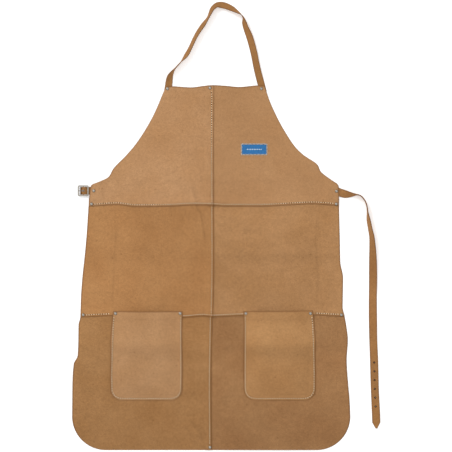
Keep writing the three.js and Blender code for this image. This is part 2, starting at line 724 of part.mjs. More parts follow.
// ---- Label ----

const labelBottom = hide + gap;
const label = new THREE.ExtrudeGeometry(roundedRectangle(labelWidth, labelHeight, labelCorner), {
  depth: labelThick, bevelEnabled: false, curveSegments: 3,
});
addPart("label", label.translate(labelX * widthScale, labelY, labelBottom), "label");

// ---- Stitching ----

/** A row of thread along [x, y, z of the leather's face] points. */
function threadRow(points) {
  const across = new THREE.Vector3();
  return ribbon(points.map(([x, y, z], i) => {
    const before = points[Math.max(i - 1, 0)];
    const after = points[Math.min(i + 1, points.length - 1)];
    across.set(before[1] - after[1], after[0] - before[0], 0).normalize();
    return {
      centre: new THREE.Vector3(x, y, z + gap + threadHeight / 2),
      side: across.clone().multiplyScalar(threadWidth / 2),
      up: new THREE.Vector3(0, 0, threadHeight / 2),
    };
  }));
}

/** The row that closes the centre seam, on the left panel. */
function centreRow(seam, low, high) {
  const breaks = seam === null ? [] : [seam + seamLap, seam + seamLap + lapRamp];
  const heights = lines(low, high, breaks.filter((y) => y > low && y < high));
  return heights.map((y) => [-threadInset, y, panelBottom("left", seam, -threadInset, y) + hide]);
}

/** A row that closes a cross seam between two distances from the centre seam. */
function crossRow(seam, from, to) {
  const y = seam + threadInset;
  const top = (side, x) => panelBottom(side, seam, x, y) + hide;
  const pastEdge = 1.2; // the row drops off the left panel's edge just past it
  const steps = [
    [-seamLap - lapRamp - 1, top("left", -seamLap - lapRamp)],
    [-seamLap - 1, top("left", -seamLap)],
    [pastEdge, top("left", 0)],
    [pastEdge + lapRamp, top("right", pastEdge) + gap],
    [pastEdge + 2 * lapRamp, top("right", lapRamp)],
  ].filter(([x]) => x > from && x < to);
  const end = (x) => [x, top(x < 0 ? "left" : "right", x)];
  return [end(from), ...steps, end(to)].map(([x, z]) => [x, y, z]);
}

/** The U of stitching round a pocket, inside its edge. */
function pocketRow(side) {
  const inset = threadInset - 1;
  const half = pocketWidth / 2 - inset;
  const radius = pocketCorner - inset;
  const middle = sideSign[side] * pocketOffset;
  const low = pocketBottom + inset;
  const top = pocketTop - pocketRivetInset - rivetCapRadius - 2;
  const corner = (sign, from, to) => spread(from, to, 4).map((turn) => [
    middle + sign * (half - radius) + radius * Math.cos(turn), low + radius + radius * Math.sin(turn)]);
  const leg = (sign, heights) => heights.map((y) => {
    const lean = sign === sideSign[side] ? pocketLean(y) : 0;
    return [middle + sign * (half - lean), y];
  });
  const climb = [top, skirtSeamY + 1, skirtSeamY - lapRamp - 1, pocketTop - pocketTaperHeight];
  return [
    ...leg(-1, climb),
    ...corner(-1, Math.PI, 1.5 * Math.PI),
    ...corner(1, -Math.PI / 2, 0),
    ...leg(1, climb.slice().reverse()),
  ].map(([x, y]) => [x, y, pocketBase(y) + hide]);
}

/** Thread round the label's border, as a closed flat frame. */
function labelRow() {
  const inset = 1.6;
  const outer = roundedRectangle(labelWidth - inset, labelHeight - inset, labelCorner - inset / 2);
  const inside = inset + 2 * threadWidth;
  outer.holes.push(roundedRectangle(labelWidth - inside, labelHeight - inside, labelCorner - inside / 2));
  const settings = { depth: threadHeight, bevelEnabled: false, curveSegments: 3 };
  const row = new THREE.ExtrudeGeometry(outer, settings);
  return row.translate(labelX * widthScale, labelY, labelBottom + labelThick + gap);
}

const clearOfRivet = rivetCapRadius + threadInset + 3;
addPart("thread_centre_skirt", threadRow(centreRow(null, hemY + clearOfRivet + 3, skirtSeamY - 1)), "thread");
addPart("thread_centre_middle", threadRow(centreRow(skirtSeamY, skirtSeamY + 8, waistY - 1)), "thread");
addPart("thread_centre_waist", threadRow(centreRow(waistY, waistY + 8, foldHeight - 1)), "thread");
const bibRow = centreRow(waistY, foldHeight + 1, bibHeight - clearOfRivet);
addPart("thread_centre_bib", threadRow(bibRow), "thread");
const clearOfEdge = seamRivetInset + rivetCapRadius + 2;
const rowEnd = (side, seam) => sideSign[side] * (edgeAt(side, seam + threadInset) - clearOfEdge);
const pocketInner = pocketOffset - pocketWidth / 2 - 1;
const pocketOuter = pocketOffset + pocketWidth / 2 + 1;
const waistRow = crossRow(waistY, rowEnd("left", waistY), rowEnd("right", waistY));
addPart("thread_waist_seam", threadRow(waistRow), "thread");
addPart("thread_skirt_seam_left",
  threadRow(crossRow(skirtSeamY, rowEnd("left", skirtSeamY), -pocketOuter)), "thread");
addPart("thread_skirt_seam_middle", threadRow(crossRow(skirtSeamY, -pocketInner, pocketInner)), "thread");
addPart("thread_skirt_seam_right",
  threadRow(crossRow(skirtSeamY, pocketOuter, rowEnd("right", skirtSeamY))), "thread");
for (const side of ["left", "right"]) addPart(`thread_pocket_${side}`, threadRow(pocketRow(side)), "thread");
addPart("thread_label", labelRow(), "thread");

export default apron;
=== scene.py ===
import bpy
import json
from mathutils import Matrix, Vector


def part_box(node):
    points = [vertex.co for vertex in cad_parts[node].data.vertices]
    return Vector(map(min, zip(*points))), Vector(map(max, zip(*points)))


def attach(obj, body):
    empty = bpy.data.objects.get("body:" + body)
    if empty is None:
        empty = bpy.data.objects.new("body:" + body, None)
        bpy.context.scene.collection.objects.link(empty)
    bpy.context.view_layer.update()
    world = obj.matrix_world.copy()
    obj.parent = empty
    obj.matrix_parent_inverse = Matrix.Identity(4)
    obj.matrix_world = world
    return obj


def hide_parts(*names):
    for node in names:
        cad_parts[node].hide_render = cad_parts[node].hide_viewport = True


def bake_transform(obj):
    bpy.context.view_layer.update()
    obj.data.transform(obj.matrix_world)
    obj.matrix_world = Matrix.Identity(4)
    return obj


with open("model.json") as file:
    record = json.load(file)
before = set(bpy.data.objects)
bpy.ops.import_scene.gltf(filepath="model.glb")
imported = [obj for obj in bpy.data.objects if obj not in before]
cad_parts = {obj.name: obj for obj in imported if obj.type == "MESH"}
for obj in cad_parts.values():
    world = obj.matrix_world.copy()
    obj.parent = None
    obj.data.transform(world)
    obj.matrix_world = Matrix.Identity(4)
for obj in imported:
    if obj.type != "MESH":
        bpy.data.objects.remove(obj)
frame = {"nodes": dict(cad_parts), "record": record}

"""Leather welding apron, laid on its back: suede panels, pockets, straps, stitching and hardware.

Every size below is in millimetres, in the frame's own axes: +X to the side with the long waist
strap, +Y towards the neck, +Z out of the front. A mesh is turned to metres when it is made.
"""

import json
import logging
import math
from collections.abc import Callable, Sequence
from dataclasses import dataclass, field
from enum import Enum
from functools import partial

import bpy
import numpy as np
from mathutils import Vector

LOG = logging.getLogger("apron")
MM = 0.001
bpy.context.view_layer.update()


class Side(Enum):
    """Which side of the centre seam a piece is on."""

    LEFT = -1
    RIGHT = 1

    @property
    def word(self) -> str:
        """The side's name as the frame's nodes spell it."""
        return self.name.lower()


class Row(Enum):
    """The three rows of panels, from the neck down."""

    BIB = "bib"
    MIDDLE = "middle"
    SKIRT = "skirt"


# ---- Helpers ----


def box_mm(node: str) -> tuple[np.ndarray, np.ndarray]:
    """Lowest and highest corner of a frame node.

    Args:
        node: The node's name.

    Returns:
        The two corners in millimetres.
    """
    low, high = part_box(node)
    return np.array(low) / MM, np.array(high) / MM


def middle_mm(node: str) -> np.ndarray:
    """Middle of a frame node's box, in millimetres."""
    low, high = box_mm(node)
    return (low + high) / 2


def ease(value: np.ndarray | float, start: float, end: float) -> np.ndarray:
    """A smooth climb from 0 at start to 1 at end.

    Args:
        value: Where to read the climb.
        start: Where it leaves 0.
        end: Where it reaches 1.

    Returns:
        The height of the climb, between 0 and 1.
    """
    t = np.clip((np.asarray(value, float) - start) / (end - start), 0, 1)
    return t * t * (3 - 2 * t)


class Line:
    """A smooth line through a few points that never swings past them."""

    def __init__(self, *points: tuple[float, float]) -> None:
        """Takes the points as (where, value), in any order."""
        self.where, self.value = (np.array(v, float) for v in zip(*sorted(points)))
        gaps = np.diff(self.where)
        rises = np.diff(self.value) / gaps
        inner = np.where(rises[:-1] * rises[1:] > 0, 1.0, 0.0)
        total = np.where(inner > 0, rises[:-1] + rises[1:], 1.0)
        middle = inner * 2 * rises[:-1] * rises[1:] / total
        self.gaps = gaps
        self.slopes = np.concatenate(([rises[0]], middle, [rises[-1]]))

    def __call__(self, at: np.ndarray | float) -> np.ndarray:
        """The line's value at one or many places, flat beyond its ends."""
        x = np.clip(np.asarray(at, float), self.where[0], self.where[-1])
        i = np.clip(np.searchsorted(self.where, x) - 1, 0, len(self.gaps) - 1)
        h = self.gaps[i]
        t = (x - self.where[i]) / h
        low, high = self.value[i], self.value[i + 1]
        bend_low, bend_high = self.slopes[i] * h, self.slopes[i + 1] * h
        return (
            low * (1 + 2 * t) * (1 - t) ** 2
            + bend_low * t * (1 - t) ** 2
            + high * t * t * (3 - 2 * t)
            + bend_high * t * t * (t - 1)
        )


def steps(length: float, pitch: float, rim: float = 1.2) -> np.ndarray:
    """Shares of a length for a row of vertices, with one close to each end.

    Args:
        length: The whole length.
        pitch: The usual distance between two vertices.
        rim: How far the first one stands in from each end.

    Returns:
        Shares from 0 to 1.
    """
    count = max(2, round((length - 2 * rim) / pitch))
    inner = np.linspace(rim, length - rim, count + 1) / length
    return np.concatenate(([0], inner, [1]))


def new_mesh(
    name: str, points: np.ndarray, faces: Sequence[Sequence[int]], sharp: float = 40
) -> bpy.types.Object:
    """Makes a mesh object at the origin, smooth but for its sharp edges.

    Args:
        name: The piece's name.
        points: Vertices in millimetres.
        faces: Vertex numbers of each face, turned outwards.
        sharp: Angle in degrees past which an edge stays sharp.

    Returns:
        The new object, linked to the scene.
    """
    mesh = bpy.data.meshes.new(name)
    mesh.from_pydata((np.asarray(points, float) * MM).tolist(), [], [list(f) for f in faces])
    mesh.validate()
    mesh.shade_smooth()
    mesh.set_sharp_from_angle(angle=math.radians(sharp))
    piece = bpy.data.objects.new(name, mesh)
    bpy.context.scene.collection.objects.link(piece)
    return piece


def paint(piece: bpy.types.Object, name: str, values: np.ndarray) -> None:
    """Stores one number per vertex for a material to read."""
    layer = piece.data.attributes.new(name, "FLOAT", "POINT")
    layer.data.foreach_set("value", np.asarray(values, np.float32).ravel())


def sheet_mesh(
    name: str, x: np.ndarray, y: np.ndarray, low: np.ndarray, thickness: float
) -> bpy.types.Object:
    """A closed sheet of even thickness over a mapped grid, with an attribute for its cut edge.

    Args:
        name: The piece's name.
        x: Places of the grid's vertices across.
        y: Places of the grid's vertices along.
        low: Height of the sheet's back at each of them.
        thickness: Thickness of the sheet.

    Returns:
        The new object. Its edge attribute is 1 on the rim and fades inwards.
    """
    rows, columns = x.shape
    total = rows * columns
    round_off = 0.28 * thickness
    rim = np.zeros((rows, columns))
    rim[[0, -1], :] = 1
    rim[:, [0, -1]] = 1
    under = np.stack([x, y, low + rim * round_off], -1).reshape(-1, 3)
    over = np.stack([x, y, low + thickness - rim * round_off], -1).reshape(-1, 3)
    number = np.arange(total).reshape(rows, columns)
    a, b, c, d = number[:-1, :-1], number[:-1, 1:], number[1:, 1:], number[1:, :-1]
    top = np.stack([a, b, c, d], -1).reshape(-1, 4) + total
    bottom = np.stack([a, d, c, b], -1).reshape(-1, 4)
    loop = np.concatenate([number[0, :-1], number[:-1, -1], number[-1, :0:-1], number[:0:-1, 0]])
    after = np.roll(loop, -1)
    wall = np.stack([loop, after, after + total, loop + total], -1)
    piece = new_mesh(name, np.vstack([under, over]), np.vstack([top, bottom, wall]), 50)
    near = rim.copy()
    near[[1, -2], 1:-1] = 0.8
    near[1:-1, [1, -2]] = 0.8
    paint(piece, "edge", np.concatenate([near.ravel(), near.ravel()]))
    return piece


def finish_piece(
    piece: bpy.types.Object, material: bpy.types.Material, slot: str, *nodes: str
) -> bpy.types.Object:
    """Dresses a piece and hides the plain solids that it stands for."""
    if not piece.data.materials:
        piece.data.materials.append(material)
    if nodes:
        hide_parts(*nodes)
    return piece


# ---- Materials ----


def linear(colour: str) -> tuple[float, float, float, float]:
    """Turns an sRGB hex colour to the linear one that a socket takes.

    Args:
        colour: Six hex digits after a hash.

    Returns:
        Red, green, blue and an alpha of 1.
    """
    parts = [int(colour[i : i + 2], 16) / 255 for i in (1, 3, 5)]
    red, green, blue = (c / 12.92 if c <= 0.04045 else ((c + 0.055) / 1.055) ** 2.4 for c in parts)
    return red, green, blue, 1.0


@dataclass
class Nodes:
    """A material's node tree while it is being built."""

    material: bpy.types.Material

    def add(self, kind: str, settings: dict | None = None, **inputs: object) -> bpy.types.Node:
        """Adds a node, sets its properties and fills or links its inputs.

        Args:
            kind: The node's type name, without ShaderNode.
            settings: Properties of the node itself.
            inputs: Values or sockets by input name, with _ for a space and a number after i.

        Returns:
            The new node.
        """
        node = self.material.node_tree.nodes.new("ShaderNode" + kind)
        for key, value in (settings or {}).items():
            setattr(node, key, value)
        for key, value in inputs.items():
            name = key.replace("_", " ")
            socket = node.inputs[int(key[1:])] if key[0] == "i" and key[1:].isdigit() else node.inputs[name]
            if isinstance(value, bpy.types.NodeSocket):
                self.material.node_tree.links.new(value, socket)
            else:
                socket.default_value = value
        return node

    def noise(self, size: float, detail: float = 2, rough: float = 0.5, stretch: Sequence[float] = (1, 1, 1)):
        """Noise whose blotches are about size millimetres wide, as a socket."""
        where = self.add("TexCoord").outputs["Object"]
        if tuple(stretch) != (1, 1, 1):
            where = self.add("Mapping", Vector=where, Scale=tuple(1 / s for s in stretch)).outputs[0]
        made = self.add("TexNoise", Vector=where, Scale=1 / (size * MM), Detail=detail, Roughness=rough)
        return made.outputs[0]

    def attribute(self, name: str) -> bpy.types.NodeSocket:
        """A number stored on the mesh, as a socket."""
        return self.add("Attribute", {"attribute_name": name}).outputs["Fac"]

    def sum(self, a: object, operation: str, b: object, clamp: bool = False) -> bpy.types.NodeSocket:
        """One arithmetic step on two numbers or sockets."""
        return self.add("Math", {"operation": operation, "use_clamp": clamp}, i0=a, i1=b).outputs[0]

    def between(self, value: object, low: float, high: float, to_low: float = 0, to_high: float = 1):
        """Maps a range onto another and holds it at the ends."""
        node = self.add("MapRange", {"clamp": True}, Value=value, i1=low, i2=high, i3=to_low, i4=to_high)
        return node.outputs[0]

    def mix(self, factor: object, a: object, b: object, blend: str = "MIX") -> bpy.types.NodeSocket:
        """Mixes two colours."""
        node = self.add("Mix", {"data_type": "RGBA", "blend_type": blend}, i0=factor, i6=a, i7=b)
        return node.outputs[2]


def new_material(name: str) -> tuple[Nodes, bpy.types.Node]:
    """Makes an empty material with its shader.

    Args:
        name: What the real material is.

    Returns:
        The tree under construction and its principled shader.
    """
    material = bpy.data.materials.new(name)
    material.use_nodes = True
    material.node_tree.nodes.clear()
    nodes = Nodes(material)
    shader = nodes.add("BsdfPrincipled")
    nodes.add("OutputMaterial", Surface=shader.outputs[0])
    return nodes, shader


@dataclass(frozen=True)
class Suede:
    """Split cowhide, flesh side out.

    The nap scatters light, so it has no gloss and a faint sheen. Tanning leaves soft blotches the
    width of a hand, mottling the width of a finger and a fine nap. The cut rim is darker, partly its
    own colour, partly painted shade where it curls; fine wrinkles and creases get painted shade.
    """

    name: str
    colour: str
    dark: str
    light: str
    mottle: float = 0.5
    rim: str = "#6b4526"

    def build(self) -> bpy.types.Material:
        """Builds the material from its colours."""
        nodes, shader = new_material(self.name)
        blotch = nodes.between(nodes.noise(120, 3, 0.55), 0.34, 0.66)
        colour = nodes.mix(blotch, linear(self.dark), linear(self.light))
        colour = nodes.mix(0.68, colour, linear(self.colour))
        drawn = nodes.noise(30, 4, 0.65, (1.7, 1, 1))
        colour = self.shaded(nodes, colour, self.spread(nodes, drawn, 0.075))
        mottle = nodes.noise(6.5, 4, 0.65)
        colour = self.shaded(nodes, colour, self.spread(nodes, mottle, 0.14))
        nap = nodes.noise(1.6, 3, 0.65, (2.0, 1, 1))
        colour = self.shaded(nodes, colour, self.spread(nodes, nap, 0.22))
        wrinkle = nodes.sum(nodes.sum(nodes.noise(60, 3, 0.6), "SUBTRACT", 0.5), "ABSOLUTE", 0)
        wrinkle = nodes.between(wrinkle, 0, 0.012, 1, 0)
        wrinkle = nodes.sum(wrinkle, "MULTIPLY", nodes.between(drawn, 0.5, 0.62))
        # Painted shade: fine wrinkle lines darkened towards the rim colour.
        colour = nodes.mix(nodes.sum(wrinkle, "MULTIPLY", 0.2 * self.mottle), colour, linear(self.rim))
        fleck = nodes.between(nodes.noise(9, 1, 0.4), 0.73, 0.79, 0, 0.3)
        colour = nodes.mix(fleck, colour, linear(self.rim))
        # Painted shade and light carried on the mesh, multiplied in with each hide's own tone.
        tone = nodes.sum(nodes.attribute("tone"), "ADD", 1.0)
        colour = self.shaded(nodes, colour, tone)
        # Darker cut rim: partly the cut edge's own colour, partly painted shade where the rim curls.
        edge = nodes.attribute("edge")
        edge = nodes.sum(nodes.sum(edge, "POWER", 1.6), "MULTIPLY", 0.75)
        colour = nodes.mix(edge, colour, linear(self.rim))
        height = nodes.sum(nodes.sum(mottle, "MULTIPLY", 0.6), "ADD", nodes.sum(nap, "MULTIPLY", 0.25))
        height = nodes.sum(height, "SUBTRACT", nodes.sum(wrinkle, "MULTIPLY", 0.2))
        bump = nodes.add("Bump", Strength=0.42, Distance=0.9 * MM, Height=height)
        shader.inputs["Roughness"].default_value = 0.93
        shader.inputs["Specular IOR Level"].default_value = 0.1
        shader.inputs["Sheen Weight"].default_value = 0.03
        shader.inputs["Sheen Roughness"].default_value = 0.6
        nodes.material.node_tree.links.new(colour, shader.inputs["Base Color"])
        nodes.material.node_tree.links.new(bump.outputs[0], shader.inputs["Normal"])
        return nodes.material

    def spread(self, nodes: Nodes, pattern: bpy.types.NodeSocket, amount: float) -> bpy.types.NodeSocket:
        """Turns a noise to a shade either side of 1, more for a hide with a stronger mottle."""
        return nodes.between(pattern, 0.3, 0.7, 1 - amount * self.mottle, 1 + amount * self.mottle)

    @staticmethod
    def shaded(nodes: Nodes, colour: bpy.types.NodeSocket, shade: bpy.types.NodeSocket):
        """Multiplies a colour by a number."""
        scaled = nodes.add("VectorMath", {"operation": "SCALE"}, i0=colour, Scale=shade)
        return scaled.outputs[0]


@dataclass(frozen=True)
class StrapLeather(Suede):
    """Harness split for the straps: the same hide, rolled flatter, with burnished edges."""

    def build(self) -> bpy.types.Material:
        """Builds the material with a tighter, drier surface."""
        material = super().build()
        shader = next(n for n in material.node_tree.nodes if n.type == "BSDF_PRINCIPLED")
        shader.inputs["Roughness"].default_value = 0.78
        shader.inputs["Sheen Weight"].default_value = 0.02
        return material


@dataclass(frozen=True)
class Nickel:
    """Nickel-plated brass: bright, slightly warm, brushed, with a painted dark reflection on its steep
    flanks.
    """

    name: str = "nickel_plate"
    colour: str = "#c2bbb0"
    dull: str = "#8f877b"
    flank_painted_reflection: str = "#241c17"

    def build(self) -> bpy.types.Material:
        """Builds the plating with handling marks a few millimetres across."""
        nodes, shader = new_material(self.name)
        marks = nodes.noise(3.2, 3, 0.6)
        colour = nodes.mix(nodes.between(marks, 0.45, 0.7, 0, 0.6), linear(self.colour), linear(self.dull))
        facing = nodes.add("SeparateXYZ", Vector=nodes.add("TexCoord").outputs["Normal"]).outputs[2]
        # Painted dark reflection: faces that turn from straight up are mixed towards near black.
        colour = nodes.mix(nodes.between(facing, 0.75, 0.995, 1, 0), colour, linear(self.flank_painted_reflection))
        rough = nodes.between(nodes.noise(1.4, 3, 0.7), 0.3, 0.7, 0.22, 0.42)
        bump = nodes.add("Bump", Strength=0.15, Distance=0.1 * MM, Height=nodes.noise(0.7, 2, 0.6))
        shader.inputs["Metallic"].default_value = 1.0
        for socket, name in ((colour, "Base Color"), (rough, "Roughness"), (bump.outputs[0], "Normal")):
            nodes.material.node_tree.links.new(socket, shader.inputs[name])
        return nodes.material


@dataclass(frozen=True)
class Thread:
    """Waxed cotton-wrapped thread: pale, matt, laid in two plies about 0.6 mm apart."""

    name: str = "waxed_cotton_thread"
    colour: str = "#fbe9cb"
    dark: str = "#e6c598"

    def build(self) -> bpy.types.Material:
        """Builds the thread with soiled patches along the row."""
        nodes, shader = new_material(self.name)
        soil = nodes.between(nodes.noise(9, 3, 0.6), 0.35, 0.7)
        colour = nodes.mix(soil, linear(self.colour), linear(self.dark))
        ply = nodes.noise(0.6, 1, 0.4)
        bump = nodes.add("Bump", Strength=0.4, Distance=0.12 * MM, Height=ply)
        shader.inputs["Roughness"].default_value = 0.85
        shader.inputs["Specular IOR Level"].default_value = 0.3
        nodes.material.node_tree.links.new(colour, shader.inputs["Base Color"])
        nodes.material.node_tree.links.new(bump.outputs[0], shader.inputs["Normal"])
        return nodes.material


@dataclass(frozen=True)
class NeedleHole:
    """The pricked hole at each end of a stitch: a dark patch of painted shade for the hole, with no shine."""

    name: str = "needle_hole_painted_shade"
    colour: str = "#432712"

    def build(self) -> bpy.types.Material:
        """Builds the dark, rough painted shade of a needle hole."""
        nodes, shader = new_material(self.name)
        colour = nodes.mix(nodes.noise(1.2, 1, 0.5), linear(self.colour), linear("#553519"))
        shader.inputs["Roughness"].default_value = 1.0
        shader.inputs["Specular IOR Level"].default_value = 0.1
        nodes.material.node_tree.links.new(colour, shader.inputs["Base Color"])
        return nodes.material


@dataclass(frozen=True)
class WovenLabel:
    """Damask-woven polyester tape: a plain weave of about 0.5 mm whose picks catch the light."""

    name: str
    colour: str
    dark: str
    pitch: float = 0.55

    def build(self) -> bpy.types.Material:
        """Builds the weave as two crossed rows of waves."""
        nodes, shader = new_material(self.name)
        where = nodes.add("TexCoord").outputs["Object"]
        scale = 0.314 / (self.pitch * MM)
        waves = [
            nodes.add("TexWave", {"bands_direction": axis}, Vector=where, Scale=scale).outputs[1]
            for axis in ("X", "Y")
        ]
        weave = nodes.sum(waves[0], "MULTIPLY", waves[1])
        worn = nodes.between(nodes.noise(5, 3, 0.6), 0.35, 0.7, 0, 0.6)
        colour = nodes.mix(worn, linear(self.colour), linear(self.dark))
        # Painted shade in the low parts of the weave.
        colour = nodes.mix(nodes.between(weave, 0, 1, 0.25, 0), colour, linear(self.dark))
        bump = nodes.add("Bump", Strength=0.35, Distance=0.15 * MM, Height=weave)
        shader.inputs["Roughness"].default_value = 0.6
        nodes.material.node_tree.links.new(colour, shader.inputs["Base Color"])
        nodes.material.node_tree.links.new(bump.outputs[0], shader.inputs["Normal"])
        return nodes.material


# ---- The lie of the leather: one set of heights that every layer shares ----


@dataclass(frozen=True)
class Crease:
    """A fold mark in the leather, along a line of points.

    Attributes:
        points: Where it runs, as (x, y).
        width: Half the width of its slope.
        height: How far its crest stands up.
        shade: How much painted shade darkens its line and one slope (the other slope is painted lighter),
            negative for lighter.
    """

    points: tuple[tuple[float, float], ...]
    width: float
    height: float
    shade: float = 0.1

    def near(self, x: np.ndarray, y: np.ndarray) -> tuple[np.ndarray, np.ndarray]:
        """Signed distance to the crease, and how much of it is left towards its ends."""
        line = np.array(self.points, float)
        best = np.full(x.shape, 1e9)
        fade = np.zeros(x.shape)
        runs = np.hypot(*np.diff(line, axis=0).T)
        travelled = np.concatenate(([0], np.cumsum(runs)))
        for start, end, run, gone in zip(line[:-1], line[1:], runs, travelled):
            along = (end - start) / run
            t = np.clip((x - start[0]) * along[0] + (y - start[1]) * along[1], 0, run)
            away_x, away_y = x - start[0] - t * along[0], y - start[1] - t * along[1]
            distance = np.hypot(away_x, away_y)
            side = np.sign(along[0] * away_y - along[1] * away_x)
            closer = distance < np.abs(best)
            share = (gone + t) / travelled[-1]
            best = np.where(closer, distance * np.where(side == 0, 1, side), best)
            fade = np.where(closer, ease(share, 0, 0.18) * (1 - ease(share, 0.82, 1)), fade)
        return best, fade


@dataclass
class Lay:
    """Where each layer of the apron lies: seams, lapped layers, strap ends and creases.

    Every height comes from here, so a layer follows the one below it and stitches, rivets and
    label sit on the surface.

    Attributes:
        hide: Thickness of the panels and pockets, in mm as everything here.
        gap: What lies open between two layers that touch.
        lap: How far one panel reaches over the next.
        ramp: Length over which a panel climbs onto the layer below it.
        lift_ramp: Length over which the bib climbs onto a strap's end.
        neck_hide: Thickness of the neck strap.
        strap_hide: Thickness of the waist strap.
        tab_stack: Height of the tab's two plies at the rivet.
        neck_stack: How far the bib's top corners stand up over the neck strap's ends.
        clear: How far a lift runs on past the cut edge.
        slack: A quarter of the height of the broad, soft rolls in the leather.
        seated: How far from a rivet the leather lies flat, and how far off it is loose again.
        waist: Height of the waist seam.
        skirt: Height of the skirt seam.
        hem: Height of the lower edge.
        top: Height of the bib's top edge.
        corner: Radius of the hem's corners.
        half: Half width of each side at the hem.
        sides: Each side's cut edge, as distance from the centre seam by height.
        rivets: Where each rivet is.
    """

    hide: float = 1.4
    gap: float = 0.3
    lap: float = 15.0
    ramp: float = 6.0
    lift_ramp: float = 12.0
    neck_hide: float = 2.0
    strap_hide: float = 2.2
    tab_stack: float = 3.5
    neck_stack: float = 2.3
    clear: float = 60.0
    slack: float = 0.55
    seated: tuple[float, float] = (8.0, 46.0)
    waist: float = field(default_factory=lambda: float(box_mm("bib_left_waist")[0][1]))
    skirt: float = field(default_factory=lambda: float(box_mm("middle_left")[0][1]))
    hem: float = field(default_factory=lambda: float(box_mm("skirt_left")[0][1]))
    top: float = field(default_factory=lambda: float(box_mm("bib_left")[1][1]))
    corner: float = 84.0
    half: dict[Side, float] = field(default_factory=dict)
    sides: dict[Side, Line] = field(default_factory=dict)
    rivets: dict[str, np.ndarray] = field(default_factory=dict)

    def __post_init__(self) -> None:
        """Reads the seams, the rivets and the width from the frame."""
        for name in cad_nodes("rivet_cap_"):
            self.rivets[name.removeprefix("rivet_cap_")] = middle_mm(name)
        self.half = {Side.LEFT: -box_mm("skirt_left")[0][0], Side.RIGHT: box_mm("skirt_right")[1][0]}
        rise = {
            Row.SKIRT: (self.hem, self.skirt),
            Row.MIDDLE: (self.skirt, self.waist),
            Row.BIB: (self.waist, self.top),
        }
        for side, rows in CUT_EDGE.items():
            points = [(self.hem + self.corner, self.half[side])]
            for row, marks in rows.items():
                low, high = rise[row]
                points += [(low + share * (high - low), distance) for share, distance in marks]
            self.sides[side] = Line(*points)
        neck_left, neck_right = self.rivets["neck_left"][0], self.rivets["neck_right"][0]
        tab, strap = self.rivets["buckle_tab"][0], self.rivets["waist_strap"][0]
        above = (self.top - 24, self.top + self.clear)
        self.lifts = {
            Side.LEFT: (
                ((tab - self.clear, tab + 17), (20, 58), self.tab_stack + self.gap),
                ((neck_left - self.clear, neck_left + 15), above, self.neck_stack),
            ),
            Side.RIGHT: (
                ((strap - 20, strap + self.clear), (18, 62), self.strap_hide + self.gap),
                ((neck_right - 15, neck_right + self.clear), above, self.neck_stack),
            ),
        }

    @property
    def step(self) -> float:
        """Rise of one lapped layer."""
        return self.hide + self.gap

    def edge(self, side: Side, y: np.ndarray) -> np.ndarray:
        """Distance from the centre seam to the cut edge at a height.

        Args:
            side: Which side of the apron.
            y: Heights to read it at.

        Returns:
            The distances, which shrink round the hem's corner.
        """
        y = np.asarray(y, float)
        short = np.clip(self.hem + self.corner - y, 0, self.corner)
        return self.sides[side](y) - self.corner + np.sqrt(self.corner**2 - short**2)

    def seam_edge(self, row: Row, x: np.ndarray) -> np.ndarray:
        """Height of a row's lower cut edge, with the small waves left by hand cutting."""
        base = {Row.BIB: self.waist, Row.MIDDLE: self.skirt, Row.SKIRT: self.hem}[row]
        return base + LOWER_EDGE[row](x)

    def lift(self, side: Side, x: np.ndarray, y: np.ndarray) -> np.ndarray:
        """How far the bib stands up over the strap ends below it."""
        total = np.zeros(np.broadcast(x, y).shape)
        for (left, right), (low, high), height in self.lifts[side]:
            inside = ease(x, left - self.lift_ramp, left) * (1 - ease(x, right, right + self.lift_ramp))
            inside = inside * ease(y, low - self.lift_ramp, low)
            total += height * inside * (1 - ease(y, high, high + self.lift_ramp))
        return total

    def wave(self, x: np.ndarray, y: np.ndarray) -> np.ndarray:
        """How far the whole stack stands off the table where the leather is creased or slack.

        Args:
            x: Places across.
            y: Places along.

        Returns:
            Heights that fall to 0 at each rivet, so that hardware stays seated.
        """
        x, y = np.broadcast_arrays(np.asarray(x, float), np.asarray(y, float))
        rolls_across = 1 + np.sin(x / 71 + np.sin(y / 93) * 1.4)
        rolls_along = 1 + np.sin(y / 83 + 0.7 + np.sin(x / 117))
        rise = self.slack * rolls_across * rolls_along
        for crease in CREASES:
            away, fade = crease.near(x, y)
            rise = rise + crease.height * fade * np.exp(-((np.abs(away) / crease.width) ** 1.5))
        for spot in self.rivets.values():
            distance = np.hypot(x - spot[0], y - spot[1])
            rise = rise * ease(distance, *self.seated)
        return rise

    def tone(self, hide: str, x: np.ndarray, y: np.ndarray) -> np.ndarray:
        """How much lighter or darker a hide is than its own colour: its own tone, with painted shade and
        light at its folds and creases.

        Args:
            hide: Name of the panel or pocket.
            x: Places across.
            y: Places along.

        Returns:
            Shares of its brightness to add.
        """
        x, y = np.broadcast_arrays(np.asarray(x, float), np.asarray(y, float))
        # The hide's own tone, with painted shade below the fold across skirt and pockets and painted light
        # above it.
        across, along = HIDE_TONES_AND_SHADE[hide]
        shade = across(x) + along(y)
        # Painted shade at each crease: a darker line along it, one slope darker and the other lighter, as the
        # key light from the upper left would shade them.
        for crease in CREASES:
            away, fade = crease.near(x, y)
            line = np.exp(-((away / 2.6) ** 2))
            slope = np.exp(-((away / (1.6 * crease.width)) ** 2)) * np.tanh(away / crease.width)
            shade -= crease.shade * fade * (line + 0.45 * slope)
        return shade

